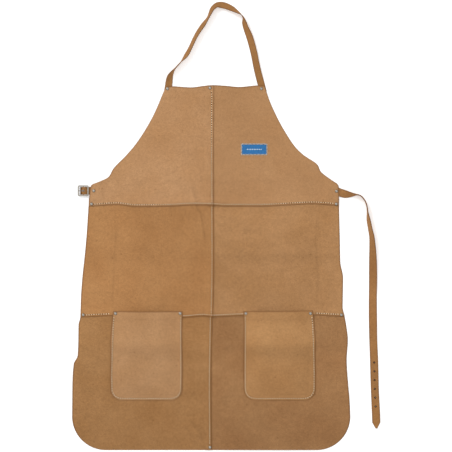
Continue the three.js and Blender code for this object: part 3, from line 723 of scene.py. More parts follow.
    def bottom(self, side: Side, row: Row, x: np.ndarray, y: np.ndarray) -> np.ndarray:
        """Height of a panel's back face.

        Args:
            side: Which side of the centre seam the panel is on.
            row: Which row it belongs to.
            x: Places across.
            y: Places along.

        Returns:
            The heights above the table.
        """
        x, y = np.broadcast_arrays(np.asarray(x, float), np.asarray(y, float))
        seam = {Row.BIB: self.waist, Row.MIDDLE: self.skirt}.get(row)
        if seam is None:
            lapped = np.zeros(x.shape)
        else:
            lapped = 1 - ease(y, seam + self.lap, seam + self.lap + self.ramp)
        if side is Side.RIGHT:
            height = lapped * self.step * (2 - ease(x, 3.5, 3.5 + self.ramp))
        else:
            over = ease(x, -self.lap - self.ramp, -self.lap)
            height = lapped * self.step * (1 + over) + self.step * over
        if row is Row.BIB:
            height = height + self.lift(side, x, y)
        return height + self.wave(x, y)

    def face(self, side: Side, row: Row, x: np.ndarray, y: np.ndarray) -> np.ndarray:
        """Height of a panel's front face."""
        return self.bottom(side, row, x, y) + self.hide


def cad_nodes(start: str) -> list[str]:
    """Names of the frame's nodes that begin with a word, in order."""
    return sorted(name for name in frame["nodes"] if name.startswith(start))


# The cut edge, as [share of the row's height, distance from the centre seam].
CUT_EDGE: dict[Side, dict[Row, tuple[tuple[float, float], ...]]] = {
    Side.LEFT: {
        Row.SKIRT: ((0.51, 351), (0.645, 348), (0.71, 338), (0.81, 336.5), (0.937, 336)),
        Row.MIDDLE: ((0, 331.5), (0.17, 330), (0.35, 326.5), (0.57, 320), (0.774, 315)),
        Row.BIB: ((0, 311), (0.087, 309), (0.175, 304), (0.203, 282.5), (0.24, 261), (0.31, 249),
                  (0.418, 218), (0.503, 196), (0.627, 170.5), (0.783, 145), (1, 118)),
    },
    Side.RIGHT: {
        Row.SKIRT: ((0.384, 341), (0.5, 337.5), (0.676, 334), (0.826, 337), (0.944, 332.5)),
        Row.MIDDLE: ((0, 329), (0.08, 324), (0.35, 325), (0.498, 318), (0.664, 317)),
        Row.BIB: ((0, 315), (0.137, 314.5), (0.173, 313), (0.217, 295), (0.29, 268.5), (0.34, 262),
                  (0.427, 225.5), (0.49, 206), (0.605, 182.5), (0.72, 163), (0.877, 141.5), (1, 128.5)),
    },
}

# How far each row's lower cut edge strays from its seam line.
LOWER_EDGE: dict[Row, Line] = {
    Row.BIB: Line((-311, -1.5), (-240, 3), (-191, -2), (-112, -1), (-51, 2), (0, 1), (31, -1), (120, -1),
                  (192, 2.5), (250, 5), (290, 2.5), (316, 0)),
    Row.MIDDLE: Line((-331, -1), (-252, 2.5), (-150, 0), (-69, -2), (-25, 1.5), (0, -0.5), (70, 2.5),
                     (160, 3), (251, 4.5), (300, 2), (329, 1)),
    Row.SKIRT: Line((-352, 0), (0, 0), (343, 0)),
}
# Where the left panels' inner edge runs, and the bib's top edge.
CENTRE_EDGE: dict[Row, Line] = {
    Row.BIB: Line((0, 2.5), (150, 1.5), (300, 2)),
    Row.MIDDLE: Line((-277, 0.5), (-140, 2.5), (0, 2)),
    Row.SKIRT: Line((-610, -3), (-450, -4), (-330, -2.5), (-277, -1.5)),
}
BIB_TOP = Line(
    (-118, -2), (-102, -1), (-54, -3.5), (-20, 0.5), (2, 2), (30, 0.5), (66, -2.5), (111, 1), (128, 0)
)

# How far a pocket's mouth strays from level, across its width.
POCKET_MOUTH: dict[Side, Line] = {
    Side.LEFT: Line((-90, 0.2), (0, -0.8), (90, 0)),
    Side.RIGHT: Line((-90, 0), (0, 0.3), (90, 2.2)),
}
# How much lighter or darker each hide is across its width and along its length: partly the hide's own tone,
# partly painted shade just below the fold across skirt and pockets near y -360 and painted light just above
# it.
HIDE_TONES_AND_SHADE: dict[str, tuple[Line, Line]] = {
    "bib_left": (
        Line((-300, 0.01), (-110, 0.015), (-50, 0), (0, -0.03)),
        Line((0, -0.01), (60, 0.01), (300, 0)),
    ),
    "bib_right": (
        Line((0, 0), (60, 0.01), (140, 0.04), (300, 0.01)),
        Line((0, 0.01), (100, 0), (300, -0.01)),
    ),
    "middle_left": (
        Line((-320, 0.05), (-240, 0.06), (-150, -0.01), (-60, -0.02), (0, -0.03)),
        Line((-277, 0.01), (-160, 0.03), (-125, -0.01), (-75, 0.01), (0, -0.03)),
    ),
    "middle_right": (
        Line((0, -0.03), (90, 0.005), (250, 0), (320, 0.03)),
        Line((-277, 0), (-150, 0), (-127, -0.05), (-112, 0), (-80, 0.02), (-25, 0.05), (0, 0.01)),
    ),
    "skirt_left": (
        Line((-345, 0.06), (-300, 0.02), (-60, 0.02), (0, 0)),
        Line((-610, -0.06), (-530, -0.02), (-420, 0), (-370, 0.03), (-350, 0.03), (-335, 0.07),
             (-277, 0.08)),
    ),
    "skirt_right": (
        Line((0, 0), (70, 0), (270, 0.01), (330, 0.03)),
        Line((-610, -0.06), (-520, -0.02), (-450, 0.03), (-400, 0.06), (-368, 0.07), (-350, 0), (-277, 0.01)),
    ),
    "pocket_left": (
        Line((-250, 0.01), (-170, 0), (-80, 0.01)),
        Line((-490, -0.06), (-400, -0.01), (-368, -0.07), (-352, -0.03), (-338, 0.05), (-277, 0.03)),
    ),
    "pocket_right": (
        Line((80, 0.02), (160, 0.01), (250, -0.03)),
        Line((-490, -0.06), (-400, -0.02), (-368, -0.1), (-350, -0.03), (-338, 0.06), (-300, 0.05),
             (-277, 0)),
    ),
}

# Long folds and creases: their line, then width, height and how far they shade the hide.
CREASES = (
    Crease(((-252, -262), (-248, -150), (-243, -70), (-247, -6)), 8, 1.6, 0.11),
    Crease(((258, -268), (262, -170), (256, -80), (262, -4)), 8, 1.3, 0.09),
    Crease(((-68, 59), (-47, 33), (-41, -3), (-31, -19), (-24, -60), (-18, -109)), 4, 0.8, 0.13),
    Crease(((-318, -120), (-200, -124), (-60, -120), (80, -126), (210, -124), (318, -126)), 13, 1.2, 0.02),
    Crease(
        ((-345, -350), (-240, -354), (-120, -352), (0, -355), (130, -352), (260, -355), (338, -351)),
        12, 1.6, 0,
    ),
    Crease(((-60, -528), (-48, -548), (-36, -562), (-28, -588)), 7, 1.8, 0.07),
    Crease(((-76, -542), (-62, -560), (-50, -584)), 6, 1.2, 0.05),
    Crease(((-200, 180), (-150, 172), (-80, 176), (0, 171), (90, 176), (176, 172)), 16, 2.2, 0.03),
    Crease(((-290, 66), (-200, 60), (-90, 64), (30, 60), (150, 66), (288, 62)), 14, 1.6, 0.03),
    Crease(((-330, -470), (-220, -474), (-90, -470), (60, -475), (200, -470), (332, -474)), 16, 1.8, 0.03),
    Crease(((75, -52), (79, -60), (77, -70)), 5, 1.0, 0.12),
)


# ---- Stitching ----


@dataclass
class Stitcher:
    """Sews rows of lockstitch: each stitch is its own short, bowed length of thread.

    Attributes:
        thread: Finish of the thread.
        hole: Finish of the needle holes.
        pitch: Distance from one needle hole to the next.
        length: Length of thread that shows between two holes.
        radius: Radius of the thread.
    """

    thread: bpy.types.Material
    hole: bpy.types.Material
    pitch: float = 5.9
    length: float = 3.1
    radius: float = 0.85

    def row(
        self,
        name: str,
        path: np.ndarray,
        height: Callable[[np.ndarray, np.ndarray], np.ndarray],
        closed: bool = False,
    ) -> bpy.types.Object:
        """Sews one row along a path on a surface.

        Args:
            name: The piece's name.
            path: The row's line, as (x, y) points.
            height: Height of the surface at places across and along.
            closed: Whether the row ends where it starts.

        Returns:
            The row as one piece, with thread and holes as its two materials.
        """
        path = np.vstack([path, path[:1]]) if closed else np.asarray(path, float)
        runs = np.hypot(*np.diff(path, axis=0).T)
        travelled = np.concatenate(([0], np.cumsum(runs)))
        count = max(1, round(travelled[-1] / self.pitch))
        pitch = travelled[-1] / count
        points: list[tuple[float, float, float]] = []
        faces: list[tuple[int, ...]] = []
        finish: list[int] = []
        for number in range(count):
            middle = (number + 0.5) * pitch
            wobble = 0.16 * math.sin(number * 2.3) + 0.1 * math.sin(number * 5.1)
            ends = [self.at(path, travelled, middle + s * self.length / 2) for s in (-1, 1)]
            self.stitch(points, faces, finish, ends, wobble, height)
            self.prick(points, faces, finish, self.at(path, travelled, number * pitch), ends, height)
        piece = new_mesh(name, np.array(points), faces, 60)
        piece.data.materials.append(self.thread)
        piece.data.materials.append(self.hole)
        piece.data.polygons.foreach_set("material_index", finish)
        return piece

    @staticmethod
    def at(path: np.ndarray, travelled: np.ndarray, distance: float) -> np.ndarray:
        """The place on a path at a distance from its start."""
        return np.array([np.interp(distance, travelled, path[:, axis]) for axis in (0, 1)])

    def stitch(self, points, faces, finish, ends, wobble, height) -> None:
        """Adds one stitch: a six-sided length whose ends dive into the leather."""
        along = ends[1] - ends[0]
        along = along / np.hypot(*along)
        across = np.array([-along[1], along[0]])
        start = len(points)
        rings = (
            (0.0, -0.75, 0.55), (0.1, -0.1, 0.95), (0.5, 0.18, 1.06), (0.9, -0.1, 0.95), (1.0, -0.75, 0.55),
        )
        for share, rise, girth in rings:
            centre = ends[0] + (ends[1] - ends[0]) * share + across * wobble * (1 - abs(2 * share - 1))
            base = float(height(centre[0], centre[1])) + self.radius * (0.55 + rise)
            for k in range(6):
                turn = math.radians(60 * k)
                side = self.radius * girth * math.cos(turn)
                spot = centre + across * side
                points.append((spot[0], spot[1], base + self.radius * 0.8 * girth * math.sin(turn)))
        for ring in range(len(rings) - 1):
            for k in range(6):
                a, b = start + 6 * ring + k, start + 6 * ring + (k + 1) % 6
                faces.append((a, b, b + 6, a + 6))
        last = start + 6 * (len(rings) - 1)
        faces.append(tuple(start + k for k in reversed(range(6))))
        faces.append(tuple(last + k for k in range(6)))
        finish.extend([0] * (6 * (len(rings) - 1) + 2))

    def prick(self, points, faces, finish, centre, ends, height) -> None:
        """Adds the needle hole between two stitches, as a low dark dome of painted shade."""
        along = ends[1] - ends[0]
        along = along / np.hypot(*along)
        across = np.array([-along[1], along[0]])
        start = len(points)
        base = float(height(centre[0], centre[1]))
        for reach, rise in ((1.0, -0.2), (0.9, 0.32)):
            for k in range(6):
                turn = math.radians(60 * k)
                spot = centre + along * 1.45 * reach * math.cos(turn) + across * 1.3 * reach * math.sin(turn)
                points.append((spot[0], spot[1], base + rise))
        for k in range(6):
            a, b = start + k, start + (k + 1) % 6
            faces.append((a, b, b + 6, a + 6))
        faces.append(tuple(start + 6 + k for k in range(6)))
        faces.append(tuple(start + k for k in reversed(range(6))))
        finish.extend([1] * 8)


# ---- Panels and pockets ----


@dataclass
class Panels:
    """The six hide panels: left lapped over right, bib over middle over skirt."""

    lay: Lay
    suedes: dict[str, bpy.types.Material]
    pitch: float = 3.4
    fold: float = 72.0
    bend: float = 12.0

    def build(self) -> list[bpy.types.Object]:
        """Makes every panel, from the hem up."""
        return [self.panel(side, row) for row in (Row.SKIRT, Row.MIDDLE, Row.BIB) for side in Side]

    def grid(self, side: Side, row: Row) -> tuple[np.ndarray, np.ndarray]:
        """Places of a panel's vertices, from its centre edge out and from its lower edge up."""
        lay = self.lay
        low = {Row.BIB: lay.waist, Row.MIDDLE: lay.skirt, Row.SKIRT: lay.hem}[row]
        high = {Row.BIB: lay.top, Row.MIDDLE: lay.waist + lay.lap, Row.SKIRT: lay.skirt + lay.lap}[row]
        up = low + (high - low) * steps(high - low, self.pitch)
        if row is Row.SKIRT:
            corner = low + lay.corner * (1 - np.cos(np.linspace(0, math.pi / 2, 44)))
            up = np.concatenate((corner, up[up > corner[-1] + 1]))
        outer = side.value * lay.edge(side, up)
        inner = CENTRE_EDGE[row](up) if side is Side.LEFT else np.full(up.shape, -lay.lap)
        across = steps(float(np.abs(outer - inner).max()), self.pitch)
        x = inner[:, None] + (outer - inner)[:, None] * across[None, :]
        y = np.repeat(up[:, None], len(across), 1)
        climb = (y - low) / (high - low)
        y = y + (1 - ease(climb, 0, 0.35)) * (lay.seam_edge(row, x) - low)
        if row is Row.BIB:
            y = y + ease(climb, 0.85, 1) * BIB_TOP(x)
        if side is Side.LEFT:
            x, y = x[:, ::-1], y[:, ::-1]
        return x, y

    def panel(self, side: Side, row: Row) -> bpy.types.Object:
        """Makes one panel, with its lap, its lifts and its creases.

        Args:
            side: Which side of the centre seam.
            row: Which row.

        Returns:
            The finished panel; all but the bib's ride on the apron's body.
        """
        name = f"{row.value}_{side.word}"
        x, y = self.grid(side, row)
        low = self.lay.bottom(side, row, x, y)
        piece = sheet_mesh(f"{name}_hide", x, y, low, self.lay.hide)
        paint(piece, "tone", np.tile(self.lay.tone(name, x, y).ravel(), 2))
        slot = {Row.BIB: "bib_suede", Row.MIDDLE: "body_suede", Row.SKIRT: "skirt_suede"}[row]
        nodes = (name, f"{name}_waist") if row is Row.BIB else (name,)
        finish_piece(piece, self.suedes[name], slot, *nodes)
        if row is Row.BIB:
            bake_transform(piece)
        else:
            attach(piece, "apron")
        width, length = float(np.ptp(x)), float(np.ptp(y))
        area = abs(float(np.sum(self.cells(x, y)))) * MM * MM
        area = min(area, width * length * MM * MM)
        return piece

    @staticmethod
    def cells(x: np.ndarray, y: np.ndarray) -> np.ndarray:
        """Area of each cell of a grid, from its diagonals."""
        across = x[1:, 1:] - x[:-1, :-1], y[1:, 1:] - y[:-1, :-1]
        back = x[1:, :-1] - x[:-1, 1:], y[1:, :-1] - y[:-1, 1:]
        return (across[0] * back[1] - across[1] * back[0]) / 2


@dataclass
class Pockets:
    """The two patch pockets, whose pouch stands off the skirt and opens at the top."""

    lay: Lay
    suedes: dict[str, bpy.types.Material]
    pitch: float = 3.2
    corner: float = 28.0
    flange: float = 9.0
    slack: float = 8.6
    rivet_inset: float = 5.5

    def __post_init__(self) -> None:
        """Reads each pocket's outline from the frame."""
        self.boxes = {side: box_mm(f"pocket_{side.word}") for side in Side}

    def half(self, side: Side) -> float:
        """Half the width of a pocket."""
        low, high = self.boxes[side]
        return float(high[0] - low[0]) / 2

    def middle(self, side: Side) -> float:
        """Where a pocket's middle line is."""
        low, high = self.boxes[side]
        return float(high[0] + low[0]) / 2

    def reach(self, side: Side, y: np.ndarray, outer: bool) -> np.ndarray:
        """Distance from the pocket's middle line to one of its side edges at a height."""
        low, high = self.boxes[side]
        half = self.half(side)
        fall = np.clip(low[1] + self.corner - y, 0, self.corner)
        round_corner = half - self.corner + np.sqrt(self.corner**2 - fall**2)
        rivet = self.lay.rivets[f"pocket_{side.word}_{'outer' if outer else 'inner'}"]
        taper = half - abs(rivet[0] - self.middle(side)) - self.rivet_inset
        narrowing = Line((high[1] - 75, 0), (high[1] - 50, 0.35), (high[1] - 18, 0.72), (high[1], 1))
        wave = 0.7 * np.sin(y / 23 + (2 if outer else 0)) * ease(y, low[1] + 30, low[1] + 60)
        return round_corner - taper * narrowing(y) + wave

    def base(self, y: np.ndarray) -> np.ndarray:
        """Height of a pocket's stitched border, which climbs over the skirt seam."""
        climb = ease(y, self.lay.skirt - 10, self.lay.skirt - 3.5)
        return self.lay.step * (1 + climb)

    def fullness(self, side: Side, x: np.ndarray, y: np.ndarray) -> np.ndarray:
        """How full the pouch is at a place, from 0 at its border to 1."""
        low = self.boxes[side][0]
        outward = (x - self.middle(side)) * side.value
        inner = self.reach(side, y, False) - self.flange + outward
        outer = self.reach(side, y, True) - self.flange - outward
        rise = y - low[1] - self.flange
        swell = [
            np.sin(np.clip(away / run, 0, 1) * math.pi / 2) ** 1.3
            for away, run in ((inner, 50), (outer, 50), (rise, 66))
        ]
        ripple = 1 + 0.05 * np.sin(x / 17 + y / 41) + 0.04 * np.sin(x / 9 - y / 30)
        return swell[0] * swell[1] * swell[2] * ripple

    def bottom(self, side: Side, x: np.ndarray, y: np.ndarray) -> np.ndarray:
        """Height of the pocket's back face."""
        return self.base(y) + self.slack * self.fullness(side, x, y) + self.lay.wave(x, y)

    def face(self, side: Side, x: np.ndarray, y: np.ndarray) -> np.ndarray:
        """Height of the pocket's front face."""
        return self.bottom(side, x, y) + self.lay.hide

    def build(self) -> list[bpy.types.Object]:
        """Makes both pockets."""
        return [self.pocket(side) for side in Side]

    def pocket(self, side: Side) -> bpy.types.Object:
        """Makes one pocket."""
        low, high = self.boxes[side]
        turn = low[1] + self.corner * (1 - np.cos(np.linspace(0, math.pi / 2, 20)))
        rest = np.linspace(turn[-1], high[1] - 0.8, round((high[1] - turn[-1]) / self.pitch) + 1)[1:]
        up = np.concatenate((turn, rest, [high[1]]))
        left = self.reach(side, up, side is Side.LEFT)
        right = self.reach(side, up, side is Side.RIGHT)
        across = steps(2 * self.half(side), self.pitch)
        x = self.middle(side) - left[:, None] + (left + right)[:, None] * across[None, :]
        y = np.repeat(up[:, None], len(across), 1)
        y = y + POCKET_MOUTH[side](x - self.middle(side)) * ease(y, high[1] - 60, high[1])
        name = f"pocket_{side.word}"
        piece = sheet_mesh(f"{name}_hide", x, y, self.bottom(side, x, y), self.lay.hide)
        paint(piece, "tone", np.tile(self.lay.tone(name, x, y).ravel(), 2))
        finish_piece(piece, self.suedes[name], "pocket_suede", name)
        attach(piece, "apron")
        return piece

    def seam(self, side: Side, inset: float = 4.2) -> np.ndarray:
        """The U of stitching inside the pocket's edge, from the inner top round to the outer."""
        low, high = self.boxes[side]
        top = high[1] - self.rivet_inset - 8
        round_corner = low[1] + self.corner * (1 - np.cos(np.linspace(0.55, 1.57, 9)))
        straight = [low[1] + 60, low[1] + 120, self.lay.skirt - 20, self.lay.skirt - 6, top]
        heights = np.concatenate(([low[1] + inset], round_corner, straight))
        heights = np.maximum(heights, low[1] + inset)
        legs = []
        for outer in (False, True):
            shrunk = self.reach(side, np.maximum(heights, low[1] + self.corner), outer) - inset
            radius = self.corner - inset
            fall = np.clip(low[1] + inset + radius - heights, 0, radius)
            shrunk = shrunk - radius + np.sqrt(radius**2 - fall**2)
            sign = side.value if outer else -side.value
            legs.append(np.stack([self.middle(side) + sign * shrunk, heights], 1))
        return np.vstack([legs[0][::-1], legs[1]])


# ---- Straps ----


def slide(t: float, start: float, end: float, low: np.ndarray, high: np.ndarray) -> np.ndarray:
    """The point at t on the line that runs from low, where t is start, to high, where it is end."""
    return (end - t) / (end - start) * low + (t - start) / (end - start) * high


def smooth_route(points: Sequence[tuple[float, float, float]], spacing: float) -> np.ndarray:
    """A smooth line through a strap's marks, evenly sampled.

    Args:
        points: Marks as (x, y, roll in degrees).
        spacing: Distance between samples.

    Returns:
        The samples, as rows of x, y and roll.
    """
    marks = np.array(points, float)
    padded = np.vstack([2 * marks[0] - marks[1], marks, 2 * marks[-1] - marks[-2]])
    found = [marks[0]]
    for i in range(len(marks) - 1):
        p = padded[i : i + 4]
        knots = np.concatenate(([0], np.cumsum(np.hypot(*np.diff(p[:, :2], axis=0).T) ** 0.5)))
        for t in np.linspace(knots[1], knots[2], 13)[1:]:
            a = [slide(t, knots[k], knots[k + 1], p[k], p[k + 1]) for k in range(3)]
            b = [slide(t, knots[k], knots[k + 2], a[k], a[k + 1]) for k in range(2)]
            found.append(slide(t, knots[1], knots[2], b[0], b[1]))
    line = np.array(found)
    travelled = np.concatenate(([0], np.cumsum(np.hypot(*np.diff(line[:, :2], axis=0).T))))
    at = np.linspace(0, travelled[-1], max(2, round(travelled[-1] / spacing)) + 1)
    return np.stack([np.interp(at, travelled, line[:, k]) for k in range(3)], 1)


@dataclass
class Strap:
    """A flat strap along a route, standing on its lower edge wherever it rolls.

    Attributes:
        name: The piece's name.
        route: Rows of x, y and roll in degrees.
        width: Width of the strap.
        thickness: Its thickness.
        taper: Length of the tip, and its width there as a share of the full width.
    """

    name: str
    route: np.ndarray
    width: float
    thickness: float
    taper: tuple[float, float] = (0.0, 1.0)

    def section(self) -> list[tuple[float, float, float]]:
        """The cross-section: (share of half width, share of half thickness, how far on the rim)."""
        across = np.linspace(-1, 1, 7)[1:-1] * 0.92
        upper = [(float(s), 1.0, 0.0) for s in across]
        lower = [(float(s), -1.0, 0.0) for s in across[::-1]]
        return [
            (-1.0, -0.45, 1.0), (-1.0, 0.45, 1.0), (-0.94, 0.95, 0.7), *upper, (0.94, 0.95, 0.7),
            (1.0, 0.45, 1.0), (1.0, -0.45, 1.0), (0.94, -0.95, 0.7), *lower, (-0.94, -0.95, 0.7),
        ]

    def build(self) -> bpy.types.Object:
        """Sweeps the section along the route."""
        place = self.route[:, :2]
        along = np.gradient(place, axis=0)
        along /= np.hypot(along[:, 0], along[:, 1])[:, None]
        square = np.stack([-along[:, 1], along[:, 0]], 1)
        travelled = np.concatenate(([0], np.cumsum(np.hypot(*np.diff(place, axis=0).T))))
        roll = np.radians(self.route[:, 2])
        tip, tip_width = self.taper
        left = travelled[-1] - travelled
        width = self.width * (1 if tip <= 0 else np.clip(tip_width + (1 - tip_width) * left / tip, 0, 1))
        width = width * (1 + 0.012 * np.sin(travelled / 19))
        half, thick = width * np.ones(len(place)) / 2, self.thickness / 2
        rest = half * np.abs(np.sin(roll)) + thick * np.abs(np.cos(roll))
        section = self.section()
        points, edge = [], []
        for i in range(len(place)):
            for across, over, rim in section:
                s = across * half[i]
                u = over * thick
                flat = s * math.cos(roll[i]) - u * math.sin(roll[i])
                z = rest[i] + s * math.sin(roll[i]) + u * math.cos(roll[i])
                points.append((*(place[i] + square[i] * flat), max(z, 0.0)))
                edge.append(rim if 0 < i < len(place) - 1 else 1.0)
        n = len(section)
        faces = []
        for i in range(len(place) - 1):
            for k in range(n):
                a, b = i * n + k, i * n + (k + 1) % n
                faces.append((a, a + n, b + n, b))
        faces.append(tuple(range(n)))
        faces.append(tuple(reversed(range((len(place) - 1) * n, len(place) * n))))
        piece = new_mesh(self.name, np.array(points), faces, 40)
        paint(piece, "edge", np.array(edge))
        # A slow change of tone along the strap, and painted shade where it rolls on edge and turns its face
        # from the light.
        tone = 0.05 * np.sin(np.repeat(travelled, n) / 47) - 0.05 * np.repeat(np.abs(np.sin(roll)), n)
        paint(piece, "tone", tone)
        return piece


@dataclass
class NeckStrap:
    """The halter: one strap from rivet to rivet, twisted on edge and creased at its top."""

    lay: Lay
    leather: bpy.types.Material
    width: float = 17.5
    rise: float = 2.3
    tuck: float = 9.0
    # [share of the span between its rivets, height above the bib, roll in degrees]
    loop: tuple[tuple[float, float, float], ...] = (
        (-0.487, 2.3, 0), (-0.472, 22, 37), (-0.454, 31, 62), (-0.42, 42.5, 88), (-0.362, 57.5, 92),
        (-0.3, 76, 125), (-0.253, 96, 121), (-0.215, 115.5, 122), (-0.172, 134, 125), (-0.122, 151, 129),
        (-0.066, 170.5, 110), (-0.042, 182.5, 117), (-0.02, 193, 127), (0.028, 202, 138), (0.075, 202, 156),
        (0.115, 200, 155), (0.18, 193.5, 143), (0.24, 185, 117), (0.286, 177, 95), (0.308, 170, 85),
        (0.317, 159, 55), (0.333, 146.5, 44), (0.375, 122, 24), (0.417, 86.5, 19), (0.455, 43, 14),
        (0.5, 2.3, 0),
    )

    def build(self) -> bpy.types.Object:
        """Makes the strap, with its ends under the bib."""
        lay = self.lay
        left, right = lay.rivets["neck_left"], lay.rivets["neck_right"]
        span, middle = right[0] - left[0], (right[0] + left[0]) / 2
        marks = [(middle + share * span, lay.top + rise, roll) for share, rise, roll in self.loop]
        route = smooth_route(marks, 2.4)
        ends = [self.tail(route[0], route[1], left), self.tail(route[-1], route[-2], right)[::-1]]
        route = np.vstack([ends[0], route[1:-1], ends[1]])
        piece = Strap("neck_strap_leather", route, self.width, lay.neck_hide).build()
        hidden = ("neck_strap_end_left", "neck_strap_end_right")
        finish_piece(piece, self.leather, "strap_leather", "neck_strap", *hidden)
        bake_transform(piece)
        length = float(np.hypot(*np.diff(route[:, :2], axis=0).T).sum())
        return piece

    def tail(self, fold: np.ndarray, beyond: np.ndarray, rivet: np.ndarray) -> np.ndarray:
        """The end under the bib, in line with the strap, from its cut end up to the fold."""
        back = (fold - beyond)[:2]
        back = back / np.hypot(*back)
        length = (fold[1] - rivet[1]) / abs(back[1]) + self.tuck
        far = np.linspace(length, 0, max(2, round(length / 1.2)))
        spots = fold[:2] + back * far[:, None]
        return np.column_stack([spots, np.zeros(len(spots))])


@dataclass
class WaistStrap:
    """The long strap: it leaves its rivet flat, rolls on edge through the bend and runs down."""

    lay: Lay
    leather: bpy.types.Material
    hole_shade: bpy.types.Material
    width: float = 20.0
    tip: float = 15.0
    tuck: float = 11.0
    holes: int = 6
    first_hole: float = 55.0
    hole_pitch: float = 22.0
    hole_radius: float = 1.8
    # [across from its rivet, up from its rivet, roll in degrees]
    run: tuple[tuple[float, float, float], ...] = (
        (11, -4, 0), (18, -6.5, 12), (30, -8.5, 42), (42, -9, 70), (52, -9, 88), (59, -11, 90), (65, -16, 90),
        (70, -23, 90), (74, -32, 90), (76.5, -42, 90), (77.5, -53, 88), (79.5, -70, 70), (84, -94, 64),
        (88, -114, 56), (90, -142, 41), (91, -171, 24), (91.5, -222, 10), (91, -275, 0), (92, -368, 0),
        (94, -420, 0), (96, -495, 0), (99, -560, 0), (100, -593, 0),
    )

    def build(self) -> bpy.types.Object:
        """Makes the strap and punches its holes."""
        lay = self.lay
        rivet = lay.rivets["waist_strap"]
        marks = [(rivet[0] + x, rivet[1] + y, roll) for x, y, roll in self.run]
        route = smooth_route(marks, 2.5)
        along = route[0, :2] - rivet[:2]
        along = along / np.hypot(*along)
        far = np.arange(-self.tuck, 11.4, 1.1)
        start = np.column_stack([rivet[:2] + along * far[:, None], np.zeros(len(far))])
        route = np.vstack([start, route])
        piece = Strap("waist_strap_leather", route, self.width, lay.strap_hide, (self.tip, 0.2)).build()
        self.punch(piece, route)
        finish_piece(piece, self.leather, "strap_leather", "waist_strap", "waist_strap_end")
        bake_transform(piece)
        length = float(np.hypot(*np.diff(route[:, :2], axis=0).T).sum())
        # Dark rings and discs of painted shade in the punched holes.
        rims = finish_piece(self.hole_rims(route), self.hole_shade, "strap_leather")
        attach(rims, "waist_strap")
        return piece

    def spots(self, route: np.ndarray) -> np.ndarray:
        """Middles of the holes, from the tip back."""
        travelled = np.concatenate(([0], np.cumsum(np.hypot(*np.diff(route[:, :2], axis=0).T))))
        at = travelled[-1] - self.first_hole - np.arange(self.holes) * self.hole_pitch
        return np.stack([np.interp(at, travelled, route[:, axis]) for axis in (0, 1)], 1)

    def punch(self, piece: bpy.types.Object, route: np.ndarray) -> None:
        """Punches the row of holes near the tip."""
        for x, y in self.spots(route):
            bpy.ops.object.select_all(action="DESELECT")
            bpy.ops.mesh.primitive_cylinder_add(
                vertices=20, radius=self.hole_radius * MM, depth=12 * MM, location=(x * MM, y * MM, 0)
            )
            punch = bpy.context.object
            cut = piece.modifiers.new("punch", "BOOLEAN")
            cut.object = punch
            cut.solver = "EXACT"
            bpy.context.view_layer.objects.active = piece
            bpy.ops.object.modifier_apply(modifier=cut.name)
            bpy.data.objects.remove(punch)

    def hole_rims(self, route: np.ndarray) -> bpy.types.Object:
        """Painted shade in each hole: a dark ring at its mouth and a dark disc at its back, over the floor.
        """
        radius, face = self.hole_radius, self.lay.strap_hide
        bands = ((radius, radius + 0.9, face - 0.3, face + 0.06), (0.5, radius + 0.2, 0.1, 0.4))
        sides = 16
        points, faces = [], []
        for x, y in self.spots(route):
            for inner, outer, low, high in bands:
                start = len(points)
                for reach, z in ((inner, low), (outer, low), (outer, high), (inner, high)):
                    for k in range(sides):
                        turn = 2 * math.pi * k / sides
                        points.append((x + reach * math.cos(turn), y + reach * math.sin(turn), z))
                for ring in range(4):
                    for k in range(sides):
                        a, b = start + ring * sides + k, start + ring * sides + (k + 1) % sides
                        c, d = (start + ((ring + 1) % 4) * sides + n for n in ((k + 1) % sides, k))
                        faces.append((a, d, c, b))
        return new_mesh("waist_strap_hole_shade", np.array(points), faces, 30)


# ---- Hardware ----


def pick(piece: bpy.types.Object, wanted: Callable[[bpy.types.MeshPolygon], bool]) -> None:
    """Selects the faces of a piece that answer a question, and enters edit mode on them."""
    bpy.ops.object.select_all(action="DESELECT")
    piece.select_set(True)
    bpy.context.view_layer.objects.active = piece
    for part in (*piece.data.vertices, *piece.data.edges):
        part.select = False
    for face in piece.data.polygons:
        face.select = wanted(face)
    bpy.ops.object.mode_set(mode="EDIT")
    bpy.ops.mesh.select_mode(type="FACE")


def leave_edit() -> None:
    """Goes back to object mode."""
    bpy.ops.object.mode_set(mode="OBJECT")


def settle(piece: bpy.types.Object, name: str, sharp: float = 35) -> bpy.types.Object:
    """Puts a piece's place into its mesh and smooths all but its sharp edges."""
    bpy.ops.object.select_all(action="DESELECT")
    piece.select_set(True)
    bpy.context.view_layer.objects.active = piece
    bpy.ops.object.transform_apply(location=True, rotation=True, scale=True)
    bpy.ops.object.shade_smooth_by_angle(angle=math.radians(sharp))
    piece.name = name
    piece.data.name = name
    return piece


def bevel_all(piece: bpy.types.Object, width: float, segments: int = 3) -> None:
    """Rounds every sharp edge of a piece.

    Args:
        piece: The piece.
        width: Width of the rounding in millimetres.
        segments: How many faces it has.
    """
    bevel = piece.modifiers.new("rounding", "BEVEL")
    bevel.width = width * MM
    bevel.segments = segments
    bevel.limit_method = "ANGLE"
    bevel.angle_limit = math.radians(40)
    bpy.context.view_layer.objects.active = piece
    bpy.ops.object.modifier_apply(modifier=bevel.name)


